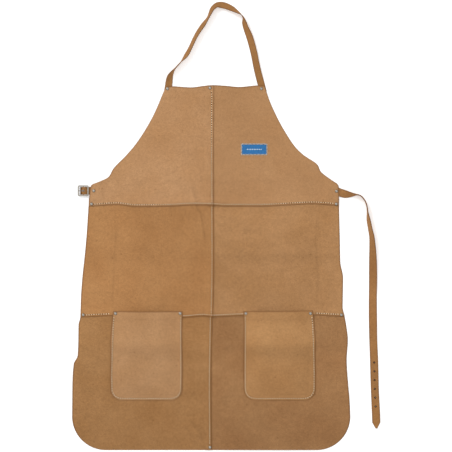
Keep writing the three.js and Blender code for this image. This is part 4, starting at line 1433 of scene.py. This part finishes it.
@dataclass
class Rivets:
    """Double-cap rivets: a low dome on the front, a flat cap let into the back."""

    lay: Lay
    plate: bpy.types.Material
    skirt: float = 0.7
    crown: float = 1.0
    post: float = 1.4

    def __post_init__(self) -> None:
        """Reads the caps' size from the frame."""
        low, high = box_mm("rivet_cap_hem")
        self.radius = float(high[0] - low[0]) / 2

    def build(self) -> list[bpy.types.Object]:
        """Makes one cap and one back, and copies them to every rivet's place."""
        cap, back = self.cap(), self.back()
        made = []
        bodies = frame["record"]["behaviour"]["bodies"]
        for name, spot in self.lay.rivets.items():
            node = f"rivet_cap_{name}"
            body = next(b for b, nodes in bodies.items() if node in nodes)
            seat = box_mm(node)[1][2] - self.skirt - self.crown
            for model, kind, z in ((cap, "cap", seat), (back, "back", 0.0)):
                piece = model.copy()
                piece.data = model.data.copy()
                piece.name = f"rivet_{name}_{kind}_plated"
                bpy.context.scene.collection.objects.link(piece)
                turn = math.radians(37 * len(made))
                piece.location = (spot[0] * MM, spot[1] * MM, z * MM)
                piece.rotation_euler = (0, 0, turn)
                settle(piece, piece.name)
                finish_piece(piece, self.plate, "nickel", f"rivet_{kind}_{name}")
                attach(piece, body)
                made.append(piece)
        for model in (cap, back):
            bpy.data.objects.remove(model)
        return made

    def cap(self) -> bpy.types.Object:
        """The domed front cap, with a rolled rim and its post."""
        bpy.ops.object.select_all(action="DESELECT")
        bpy.ops.mesh.primitive_cylinder_add(
            vertices=28, radius=self.radius * MM, depth=self.skirt * MM, location=(0, 0, self.skirt / 2 * MM)
        )
        cap = bpy.context.object
        bpy.ops.object.transform_apply(location=True)
        pick(cap, lambda face: face.normal.z > 0.9)
        for share, rise in ((0.12, 0.42), (0.22, 0.3), (0.3, 0.2), (0.42, 0.08)):
            bpy.ops.mesh.inset(thickness=share * self.radius * 0.8 * MM)
            bpy.ops.transform.translate(value=(0, 0, rise * self.crown * MM))
        leave_edit()
        pick(cap, lambda face: face.normal.z < -0.9)
        bpy.ops.mesh.inset(thickness=(self.radius - self.post) * MM)
        bpy.ops.mesh.extrude_region_move(TRANSFORM_OT_translate={"value": (0, 0, -1.6 * MM)})
        leave_edit()
        bevel_all(cap, 0.22, 3)
        return cap

    def back(self) -> bpy.types.Object:
        """The flat back cap, with a dimple where it was set."""
        bpy.ops.object.select_all(action="DESELECT")
        bpy.ops.mesh.primitive_cylinder_add(
            vertices=28, radius=self.radius * MM, depth=0.7 * MM, location=(0, 0, 0.35 * MM)
        )
        back = bpy.context.object
        bpy.ops.object.transform_apply(location=True)
        pick(back, lambda face: face.normal.z < -0.9)
        bpy.ops.mesh.inset(thickness=0.6 * self.radius * MM)
        bpy.ops.mesh.inset(thickness=0.1 * self.radius * MM)
        bpy.ops.transform.translate(value=(0, 0, 0.3 * MM))
        leave_edit()
        bevel_all(back, 0.18, 2)
        return back


@dataclass
class Buckle:
    """A square frame on a rolled leather tab, with a prong that turns on the centre bar."""

    lay: Lay
    plate: bpy.types.Material
    leather: bpy.types.Material
    bar: float = 3.2
    thickness: float = 2.6
    bar_radius: float = 1.3
    tab_width: float = 19.0
    tab_hide: float = 1.6
    tab_tuck: float = 10.0
    slot: float = 3.4
    prong_radius: float = 0.8

    def __post_init__(self) -> None:
        """Reads the frame's place and how far the tab's lower ply runs on behind it."""
        low, high = box_mm("buckle_frame")
        self.centre = (low + high) / 2
        self.size = float(high[0] - low[0])
        self.rivet = self.lay.rivets["buckle_tab"]
        self.chafe = self.centre[0] - float(box_mm("buckle_tab")[0][0])

    def build(self) -> list[bpy.types.Object]:
        """Makes the frame, the prong and the tab."""
        return [self.frame_piece(), self.prong(), self.tab(), self.chafe_piece()]

    def frame_piece(self) -> bpy.types.Object:
        """The square frame with its centre bar, cast in one."""
        x, y, z = self.centre * MM
        bpy.ops.object.select_all(action="DESELECT")
        bpy.ops.mesh.primitive_plane_add(size=self.size * MM, location=(x, y, z - self.thickness / 2 * MM))
        piece = bpy.context.object
        bpy.ops.object.transform_apply(location=True)
        bpy.ops.object.mode_set(mode="EDIT")
        bpy.ops.mesh.select_all(action="SELECT")
        bpy.ops.mesh.bevel(offset=3.2 * MM, segments=5, affect="VERTICES")
        bpy.ops.mesh.select_all(action="SELECT")
        bpy.ops.mesh.inset(thickness=self.bar * MM)
        bpy.ops.mesh.delete(type="FACE")
        bpy.ops.mesh.select_all(action="SELECT")
        bpy.ops.mesh.extrude_region_move(TRANSFORM_OT_translate={"value": (0, 0, self.thickness * MM)})
        bpy.ops.mesh.select_all(action="SELECT")
        bpy.ops.mesh.normals_make_consistent(inside=False)
        leave_edit()
        bevel_all(piece, 1.25, 4)
        inside = self.size - 2 * self.bar
        bpy.ops.object.select_all(action="DESELECT")
        bpy.ops.mesh.primitive_cylinder_add(
            vertices=20, radius=self.bar_radius * MM, depth=(inside + self.bar) * MM, location=(x, y, z),
            rotation=(math.pi / 2, 0, 0),
        )
        rod = bpy.context.object
        bpy.ops.object.transform_apply(location=True, rotation=True)
        join = piece.modifiers.new("weld", "BOOLEAN")
        join.operation = "UNION"
        join.object = rod
        bpy.context.view_layer.objects.active = piece
        bpy.ops.object.modifier_apply(modifier=join.name)
        bpy.data.objects.remove(rod)
        settle(piece, "buckle_frame_plated")
        finish_piece(piece, self.plate, "nickel", "buckle_frame")
        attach(piece, "buckle")
        return piece

    def prong(self) -> bpy.types.Object:
        """The prong: an eye on the centre bar and a shank that rests on the frame."""
        x, y, z = self.centre
        eye = self.bar_radius + 0.3 + 0.65
        bpy.ops.object.select_all(action="DESELECT")
        bpy.ops.mesh.primitive_torus_add(
            major_segments=28, minor_segments=12, major_radius=eye * MM, minor_radius=0.65 * MM,
            location=(x * MM, y * MM, z * MM), rotation=(math.pi / 2, 0, 0),
        )
        piece = bpy.context.object
        bpy.ops.object.transform_apply(location=True, rotation=True)
        bpy.ops.object.mode_set(mode="EDIT")
        bpy.ops.mesh.select_all(action="SELECT")
        bpy.ops.transform.resize(value=(1, 1.75, 1), center_override=tuple(self.centre * MM))
        leave_edit()
        shank = self.shank()
        join = piece.modifiers.new("weld", "BOOLEAN")
        join.operation = "UNION"
        join.object = shank
        bpy.context.view_layer.objects.active = piece
        bpy.ops.object.modifier_apply(modifier=join.name)
        bpy.data.objects.remove(shank)
        settle(piece, "buckle_prong_plated")
        finish_piece(piece, self.plate, "nickel", "buckle_prong")
        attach(piece, "prong")
        return piece

    def shank(self) -> bpy.types.Object:
        """The prong's shank, drawn out ring by ring from the eye to its rounded tip."""
        x, y, z = self.centre
        rest = self.thickness / 2 + 0.35 + self.prong_radius
        reach = self.size / 2 - 0.2
        line = (
            (-2.2, 1.2, 1.0), (-3.6, 2.3, 1.0), (-5.2, rest - 0.1, 1.0), (-8, rest, 0.97),
            (-reach + 1.2, rest, 0.9), (-reach + 0.4, rest - 0.1, 0.7), (-reach, rest - 0.2, 0.35),
        )
        bpy.ops.object.select_all(action="DESELECT")
        bpy.ops.mesh.primitive_circle_add(
            vertices=14, radius=self.prong_radius * MM, fill_type="NGON", rotation=(0, -math.pi / 2 + 0.6, 0),
            location=((x + line[0][0]) * MM, y * MM, (z + line[0][1]) * MM),
        )
        piece = bpy.context.object
        bpy.ops.object.transform_apply(location=True, rotation=True)
        bpy.ops.object.mode_set(mode="EDIT")
        bpy.ops.mesh.select_all(action="SELECT")
        turned = 0.6
        for (x0, z0, g0), (x1, z1, g1) in zip(line, line[1:]):
            step = ((x1 - x0) * MM, 0, (z1 - z0) * MM)
            bpy.ops.mesh.extrude_region_move(TRANSFORM_OT_translate={"value": step})
            centre = ((x + x1) * MM, y * MM, (z + z1) * MM)
            bpy.ops.transform.resize(value=(g1 / g0,) * 3, center_override=centre)
            aim = math.atan2(z1 - z0, -(x1 - x0)) * 0.5
            bpy.ops.transform.rotate(value=turned - aim, orient_axis="Y", center_override=centre)
            turned = aim
        bpy.ops.mesh.select_all(action="SELECT")
        bpy.ops.mesh.normals_make_consistent(inside=False)
        leave_edit()
        return piece

    def tab_line(self) -> np.ndarray:
        """The tab's middle line in section: along the table, round the centre bar and back."""
        z = self.centre[2]
        round_bar = self.bar_radius + self.lay.gap + self.tab_hide / 2
        end = self.rivet[0] - self.centre[0] + self.tab_tuck
        under = self.size / 2 - self.bar - self.lay.gap
        top = self.tab_hide * 1.5 + self.lay.gap
        points = [(end, self.tab_hide / 2), (under, self.tab_hide / 2), (5, self.tab_hide / 2)]
        for turn in range(-100, -301, -20):
            angle = math.radians(turn)
            points.append((round_bar * math.cos(angle), z + round_bar * math.sin(angle)))
        points += [(under - 2.2, top + 0.75), (under + 0.6, top), (end, top)]
        return np.array(points)

    def tab(self) -> bpy.types.Object:
        """The folded tab, rolled round the centre bar and slotted for the prong."""
        line = self.tab_line()
        travelled = np.concatenate(([0], np.cumsum(np.hypot(*np.diff(line, axis=0).T))))
        at = np.linspace(0, travelled[-1], 110)
        line = np.stack([np.interp(at, travelled, line[:, k]) for k in (0, 1)], 1)
        along = np.gradient(line, axis=0)
        along /= np.hypot(along[:, 0], along[:, 1])[:, None]
        square = np.stack([-along[:, 1], along[:, 0]], 1) * self.tab_hide / 2
        half = self.tab_width / 2
        across = (
            (-half, 0.7), (-half + 0.5, 1), (-half / 2, 1), (-self.slot / 2, 1),
            (self.slot / 2, 1), (half / 2, 1), (half - 0.5, 1), (half, 0.7),
        )
        points, edge = [], []
        for sign in (1, -1):
            for i, spot in enumerate(line):
                for y, girth in across:
                    x, z = spot + square[i] * sign * girth
                    points.append((self.centre[0] + x, self.rivet[1] + y, max(z, 0.0)))
                    edge.append(1.0 if girth < 1 or i in (0, len(line) - 1) else 0.0)
        n, rows = len(across), len(line)
        total = n * rows
        slotted = [abs(float(spot[0])) < 3.6 or float(spot[0]) < 0 for spot in line]
        open_cell = [(slotted[i] and slotted[i + 1]) for i in range(rows - 1)]
        faces = []
        for i in range(rows - 1):
            for k in range(n - 1):
                hole = k == 3 and open_cell[i]
                a, b = i * n + k, i * n + k + 1
                if not hole:
                    faces.append((a, b, b + n, a + n))
                    faces.append((a + total, a + n + total, b + n + total, b + total))
                    continue
                faces.append((a, a + n, a + n + total, a + total))
                faces.append((b, b + total, b + n + total, b + n))
            for k, flip in ((0, False), (n - 1, True)):
                a = i * n + k
                wall = (a, a + n, a + n + total, a + total)
                faces.append(wall if not flip else wall[::-1])
        starts = [i for i in range(1, rows - 1) if open_cell[i] != open_cell[i - 1]]
        for i in starts:
            a, b = i * n + 3, i * n + 4
            wall = (a, b, b + total, a + total)
            faces.append(wall if open_cell[i] else wall[::-1])
        for i in (0, rows - 1):
            for k in range(n - 1):
                a, b = i * n + k, i * n + k + 1
                wall = (a, b, b + total, a + total)
                faces.append(wall[::-1] if i == 0 else wall)
        piece = new_mesh("buckle_tab_leather", np.array(points), faces, 45)
        pick(piece, lambda face: True)
        bpy.ops.mesh.normals_make_consistent(inside=False)
        leave_edit()
        paint(piece, "edge", np.array(edge))
        paint(piece, "tone", np.full(len(points), -0.04))
        finish_piece(piece, self.leather, "strap_leather", "buckle_tab")
        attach(piece, "tab")
        return piece

    def chafe_piece(self) -> bpy.types.Object:
        """The end of the tab's lower ply, which backs the frame as far as its outer bar."""
        start, end = -self.chafe, -(self.bar_radius + self.lay.gap + self.tab_hide) - 0.1
        across = steps(end - start, 1.0, 0.5)
        half = self.tab_width / 2
        along = np.linspace(-half, half, 12)
        x = self.centre[0] + start + (end - start) * across[None, :] + 0 * along[:, None]
        y = self.rivet[1] + along[:, None] + 0 * across[None, :]
        piece = sheet_mesh("buckle_tab_chafe", x, y, 0 * x, self.tab_hide - 0.1)
        paint(piece, "tone", np.full(len(piece.data.vertices), -0.02))
        finish_piece(piece, self.leather, "strap_leather")
        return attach(piece, "tab")


# ---- Label ----


@dataclass
class Label:
    """A woven label on the bib: a pale tape with a blue field and a plain row of lozenges."""

    lay: Lay
    tape: bpy.types.Material
    field_cloth: bpy.types.Material
    corner: float = 3.5
    thickness: float = 0.6
    border: float = 2.6
    lozenges: int = 9
    lozenge_pitch: float = 4.3
    lozenge_height: float = 3.4

    def __post_init__(self) -> None:
        """Reads the label's place from the frame."""
        low, high = box_mm("label")
        self.centre = (low + high) / 2
        self.size = high - low

    def ground(self, x: np.ndarray, y: np.ndarray) -> np.ndarray:
        """Height of the leather below the label."""
        return self.lay.face(Side.RIGHT, Row.BIB, x, y) + 0.12

    def patch(self, name: str, inset: float, base: float, thickness: float) -> bpy.types.Object:
        """One rounded cloth rectangle that follows the leather.

        Args:
            name: The piece's name.
            inset: How far it stands in from the label's edge.
            base: Height of its back above the leather.
            thickness: Its thickness.

        Returns:
            The new piece.
        """
        half_x, half_y = self.size[0] / 2 - inset, self.size[1] / 2 - inset
        radius = max(self.corner - inset, 1.0)
        turn = radius * (1 - np.cos(np.linspace(0, math.pi / 2, 6)))
        straight = np.linspace(-half_y + radius, half_y - radius, 9)[1:-1]
        up = np.concatenate((-half_y + turn, straight, half_y - turn[::-1]))
        short = np.clip(np.abs(up) - (half_y - radius), 0, radius)
        reach = half_x - radius + np.sqrt(radius**2 - short**2)
        across = steps(2 * half_x, 2.4, 0.5) * 2 - 1
        x = self.centre[0] + reach[:, None] * across[None, :]
        y = self.centre[1] + np.repeat(up[:, None], len(across), 1)
        return sheet_mesh(name, x, y, self.ground(x, y) + base, thickness)

    def build(self) -> list[bpy.types.Object]:
        """Makes the tape, its field and its motif."""
        tape = self.patch("label_tape", 0, 0, self.thickness)
        finish_piece(tape, self.tape, "label_cloth", "label")
        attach(tape, "bib")
        field_piece = self.patch("label_field", self.border, self.thickness + 0.03, 0.16)
        finish_piece(field_piece, self.field_cloth, "label_cloth")
        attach(field_piece, "bib")
        motif = self.motif()
        finish_piece(motif, self.tape, "label_cloth")
        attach(motif, "bib")
        return [tape, field_piece, motif]

    def motif(self) -> bpy.types.Object:
        """A row of lozenges woven across the field."""
        points, faces = [], []
        half_x, half_y = self.lozenge_pitch * 0.4, self.lozenge_height / 2
        for number in range(self.lozenges):
            middle = self.centre[0] + (number - (self.lozenges - 1) / 2) * self.lozenge_pitch
            rim = [(half_x, 0), (0, half_y), (-half_x, 0), (0, -half_y)]
            for rise, share in ((0.17, 1.0), (0.3, 0.86)):
                for x, y in rim:
                    spot = (middle + x * share, self.centre[1] + y * share)
                    z = float(self.ground(np.array(spot[0]), np.array(spot[1]))) + self.thickness + rise
                    points.append((*spot, z))
            a = 8 * number
            faces.append((a + 4, a + 5, a + 6, a + 7))
            faces.append((a + 3, a + 2, a + 1, a))
            for k in range(4):
                b = (k + 1) % 4
                faces.append((a + k, a + b, a + 4 + b, a + 4 + k))
        return new_mesh("label_motif", np.array(points), faces, 30)


# ---- Rows of stitching ----


@dataclass
class Seams:
    """Every row of stitching, sewn on the surface that it holds down."""

    lay: Lay
    pockets: Pockets
    label: Label
    stitcher: Stitcher
    inset: float = 5.0

    def build(self) -> list[bpy.types.Object]:
        """Sews the centre seam, the cross seams, the pockets and the label."""
        rows = [self.centre(Row.SKIRT, "skirt"), self.centre(Row.MIDDLE, "middle"), self.bib_centre()]
        rows.append(self.cross(Row.BIB, "waist_seam"))
        rows += [self.cross(Row.MIDDLE, f"skirt_seam_{part}") for part in ("left", "middle", "right")]
        rows += [self.pocket(side) for side in Side]
        rows.append(self.label_row())
        return rows

    def centre_path(self, row: Row, low: float, high: float) -> np.ndarray:
        """A line inside the left panels' centre edge, from one height to another."""
        y = np.linspace(low, high, max(3, round((high - low) / 6)))
        return np.stack([CENTRE_EDGE[row](y) - self.inset, y], 1)

    def centre(self, row: Row, word: str) -> bpy.types.Object:
        """Sews the centre seam of one row of panels."""
        low, high = box_mm(f"thread_centre_{word}")
        path = self.centre_path(row, low[1], high[1])
        height = partial(self.lay.face, Side.LEFT, row)
        piece = self.stitcher.row(f"stitches_centre_{word}", path, height)
        finish_piece(piece, self.stitcher.thread, "seam_thread", f"thread_centre_{word}")
        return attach(piece, "apron")

    def bib_centre(self) -> bpy.types.Object:
        """Sews the bib's centre seam, from the waist to the bib's top."""
        low, high = box_mm("thread_centre_waist")[0][1], box_mm("thread_centre_bib")[1][1]
        path = self.centre_path(Row.BIB, low, high)
        piece = self.stitcher.row("stitches_centre_bib", path, partial(self.lay.face, Side.LEFT, Row.BIB))
        finish_piece(piece, self.stitcher.thread, "seam_thread", "thread_centre_waist", "thread_centre_bib")
        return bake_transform(piece)

    def cross(self, row: Row, word: str) -> bpy.types.Object:
        """Sews one stretch of a cross seam, just above a row's lower edge."""
        low, high = box_mm(f"thread_{word}")
        x = np.linspace(low[0], high[0], max(3, round((high[0] - low[0]) / 5)))
        path = np.stack([x, self.lay.seam_edge(row, x) + self.inset], 1)

        def height(at_x: float, at_y: float) -> float:
            """The leather's face on whichever side of the centre edge the place is."""
            side = Side.LEFT if at_x < float(CENTRE_EDGE[row](at_y)) + 0.6 else Side.RIGHT
            return float(self.lay.face(side, row, at_x, at_y))

        piece = self.stitcher.row(f"stitches_{word}", path, height)
        finish_piece(piece, self.stitcher.thread, "seam_thread", f"thread_{word}")
        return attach(piece, "apron")

    def pocket(self, side: Side) -> bpy.types.Object:
        """Sews a pocket's sides and bottom."""
        path = self.pockets.seam(side)
        piece = self.stitcher.row(f"stitches_pocket_{side.word}", path, partial(self.pockets.face, side))
        finish_piece(piece, self.stitcher.thread, "seam_thread", f"thread_pocket_{side.word}")
        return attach(piece, "apron")

    def label_row(self) -> bpy.types.Object:
        """Sews the label down with a finer stitch."""
        label = self.label
        half_x, half_y, radius = label.size[0] / 2 - 1.4, label.size[1] / 2 - 1.4, 2.2
        path = []
        for number, (sx, sy) in enumerate(((1, -1), (1, 1), (-1, 1), (-1, -1))):
            for turn in np.linspace(-90, 0, 5) + 90 * number:
                angle = math.radians(float(turn))
                path.append((label.centre[0] + sx * (half_x - radius) + radius * math.cos(angle),
                             label.centre[1] + sy * (half_y - radius) + radius * math.sin(angle)))
        fine = Stitcher(self.stitcher.thread, self.stitcher.hole, pitch=3.4, length=2.6, radius=0.3)
        top = label.thickness + 0.02
        piece = fine.row("stitches_label", np.array(path), lambda x, y: label.ground(x, y) + top, closed=True)
        finish_piece(piece, self.stitcher.thread, "seam_thread", "thread_label")
        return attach(piece, "bib")


# ---- Stage ----


@dataclass
class Studio:
    """A white floor, a soft key light, an even sky and a camera straight above the apron."""

    view_width: float = 1130.0
    view_centre: tuple[float, float] = (32.5, -50.0)
    height: float = 5200.0
    sky: float = 0.8
    key: float = 0.95

    def build(self) -> None:
        """Sets up everything that isn't part of the apron."""
        self.floor()
        self.lights()
        self.camera()
        bpy.context.scene.view_settings.view_transform = "Standard"

    def floor(self) -> None:
        """Lays a wide matt white floor just below the leather."""
        bpy.ops.object.select_all(action="DESELECT")
        bpy.ops.mesh.primitive_plane_add(size=14, location=(0, 0, -0.25 * MM))
        floor = bpy.context.object
        floor.name = "floor"
        nodes, shader = new_material("white_paper")
        shader.inputs["Base Color"].default_value = linear("#ffffff")
        shader.inputs["Roughness"].default_value = 0.9
        shader.inputs["Emission Color"].default_value = linear("#ffffff")
        shader.inputs["Emission Strength"].default_value = 0.3
        floor.data.materials.append(nodes.material)

    def lights(self) -> None:
        """Lights the leather evenly, with one wide key light to model its nap."""
        world = bpy.data.worlds.new("studio")
        world.use_nodes = True
        world.node_tree.nodes["Background"].inputs[0].default_value = (1.0, 1.0, 1.0, 1.0)
        world.node_tree.nodes["Background"].inputs[1].default_value = self.sky
        bpy.context.scene.world = world
        sun = bpy.data.lights.new("key", "SUN")
        sun.energy = self.key
        sun.angle = math.radians(14)
        lamp = bpy.data.objects.new("key", sun)
        lamp.rotation_euler = Vector((-0.75, 0.8, 1.0)).to_track_quat("Z", "Y").to_euler()
        bpy.context.scene.collection.objects.link(lamp)

    def camera(self) -> None:
        """Hangs a long lens straight above the middle of the view."""
        data = bpy.data.cameras.new("camera")
        data.sensor_width = 36
        data.lens = 36 * self.height / self.view_width
        data.clip_end = 100
        camera = bpy.data.objects.new("camera", data)
        camera.location = (self.view_centre[0] * MM, self.view_centre[1] * MM, self.height * MM)
        bpy.context.scene.collection.objects.link(camera)
        bpy.context.scene.camera = camera


# ---- Build ----


def make_suedes() -> dict[str, bpy.types.Material]:
    """One material for each hide, because each was cut from a different skin.

    Returns:
        The materials by panel name.
    """
    hides = (
        Suede("suede_bib_left", "#b78a60", "#a97b4f", "#c39870", 0.62),
        Suede("suede_bib_right", "#b0845a", "#a47850", "#bb9067", 0.5),
        Suede("suede_middle_left", "#ad7d4f", "#9c6c40", "#bb8c5c", 0.62),
        Suede("suede_middle_right", "#aa7e53", "#9c7045", "#b88c62", 0.66),
        Suede("suede_skirt_left", "#9e7348", "#8e633a", "#ad8358", 0.7),
        Suede("suede_skirt_right", "#9a7049", "#8a603b", "#a98056", 0.7),
        Suede("suede_pocket_left", "#b1865d", "#a3784f", "#bf956d", 0.55),
        Suede("suede_pocket_right", "#ac7f52", "#9b6e42", "#b98e60", 0.6),
    )
    return {hide.name.removeprefix("suede_"): hide.build() for hide in hides}


def main() -> None:
    """Builds the apron piece by piece and reports each one."""
    logging.basicConfig(level=logging.INFO, format="%(name)s: %(message)s")
    lay = Lay()
    suedes = make_suedes()
    strap = StrapLeather("harness_split", "#9f7143", "#8c5f36", "#ac7e50", 0.6, "#5e3c20").build()
    plate = Nickel().build()
    thread, hole = Thread().build(), NeedleHole().build()
    tape = WovenLabel("woven_tape_pale", "#dfe9ef", "#b9cfdd").build()
    field_cloth = WovenLabel("woven_field_blue", "#1b74b4", "#145a90").build()
    pockets = Pockets(lay, suedes)
    label = Label(lay, tape, field_cloth)
    stitcher = Stitcher(thread, hole)
    makers = (
        Panels(lay, suedes),
        pockets,
        label,
        Seams(lay, pockets, label, stitcher),
        Rivets(lay, plate),
        Buckle(lay, plate, strap),
    )
    for maker in makers:
        for piece in maker.build():
            LOG.info("%s: %d faces", piece.name, len(piece.data.polygons))
    for maker in (NeckStrap(lay, strap), WaistStrap(lay, strap, hole)):
        piece = maker.build()
        LOG.info("%s: %d faces", piece.name, len(piece.data.polygons))
    Studio().build()
    bpy.context.view_layer.update()


if __name__ == "__main__":
    main()
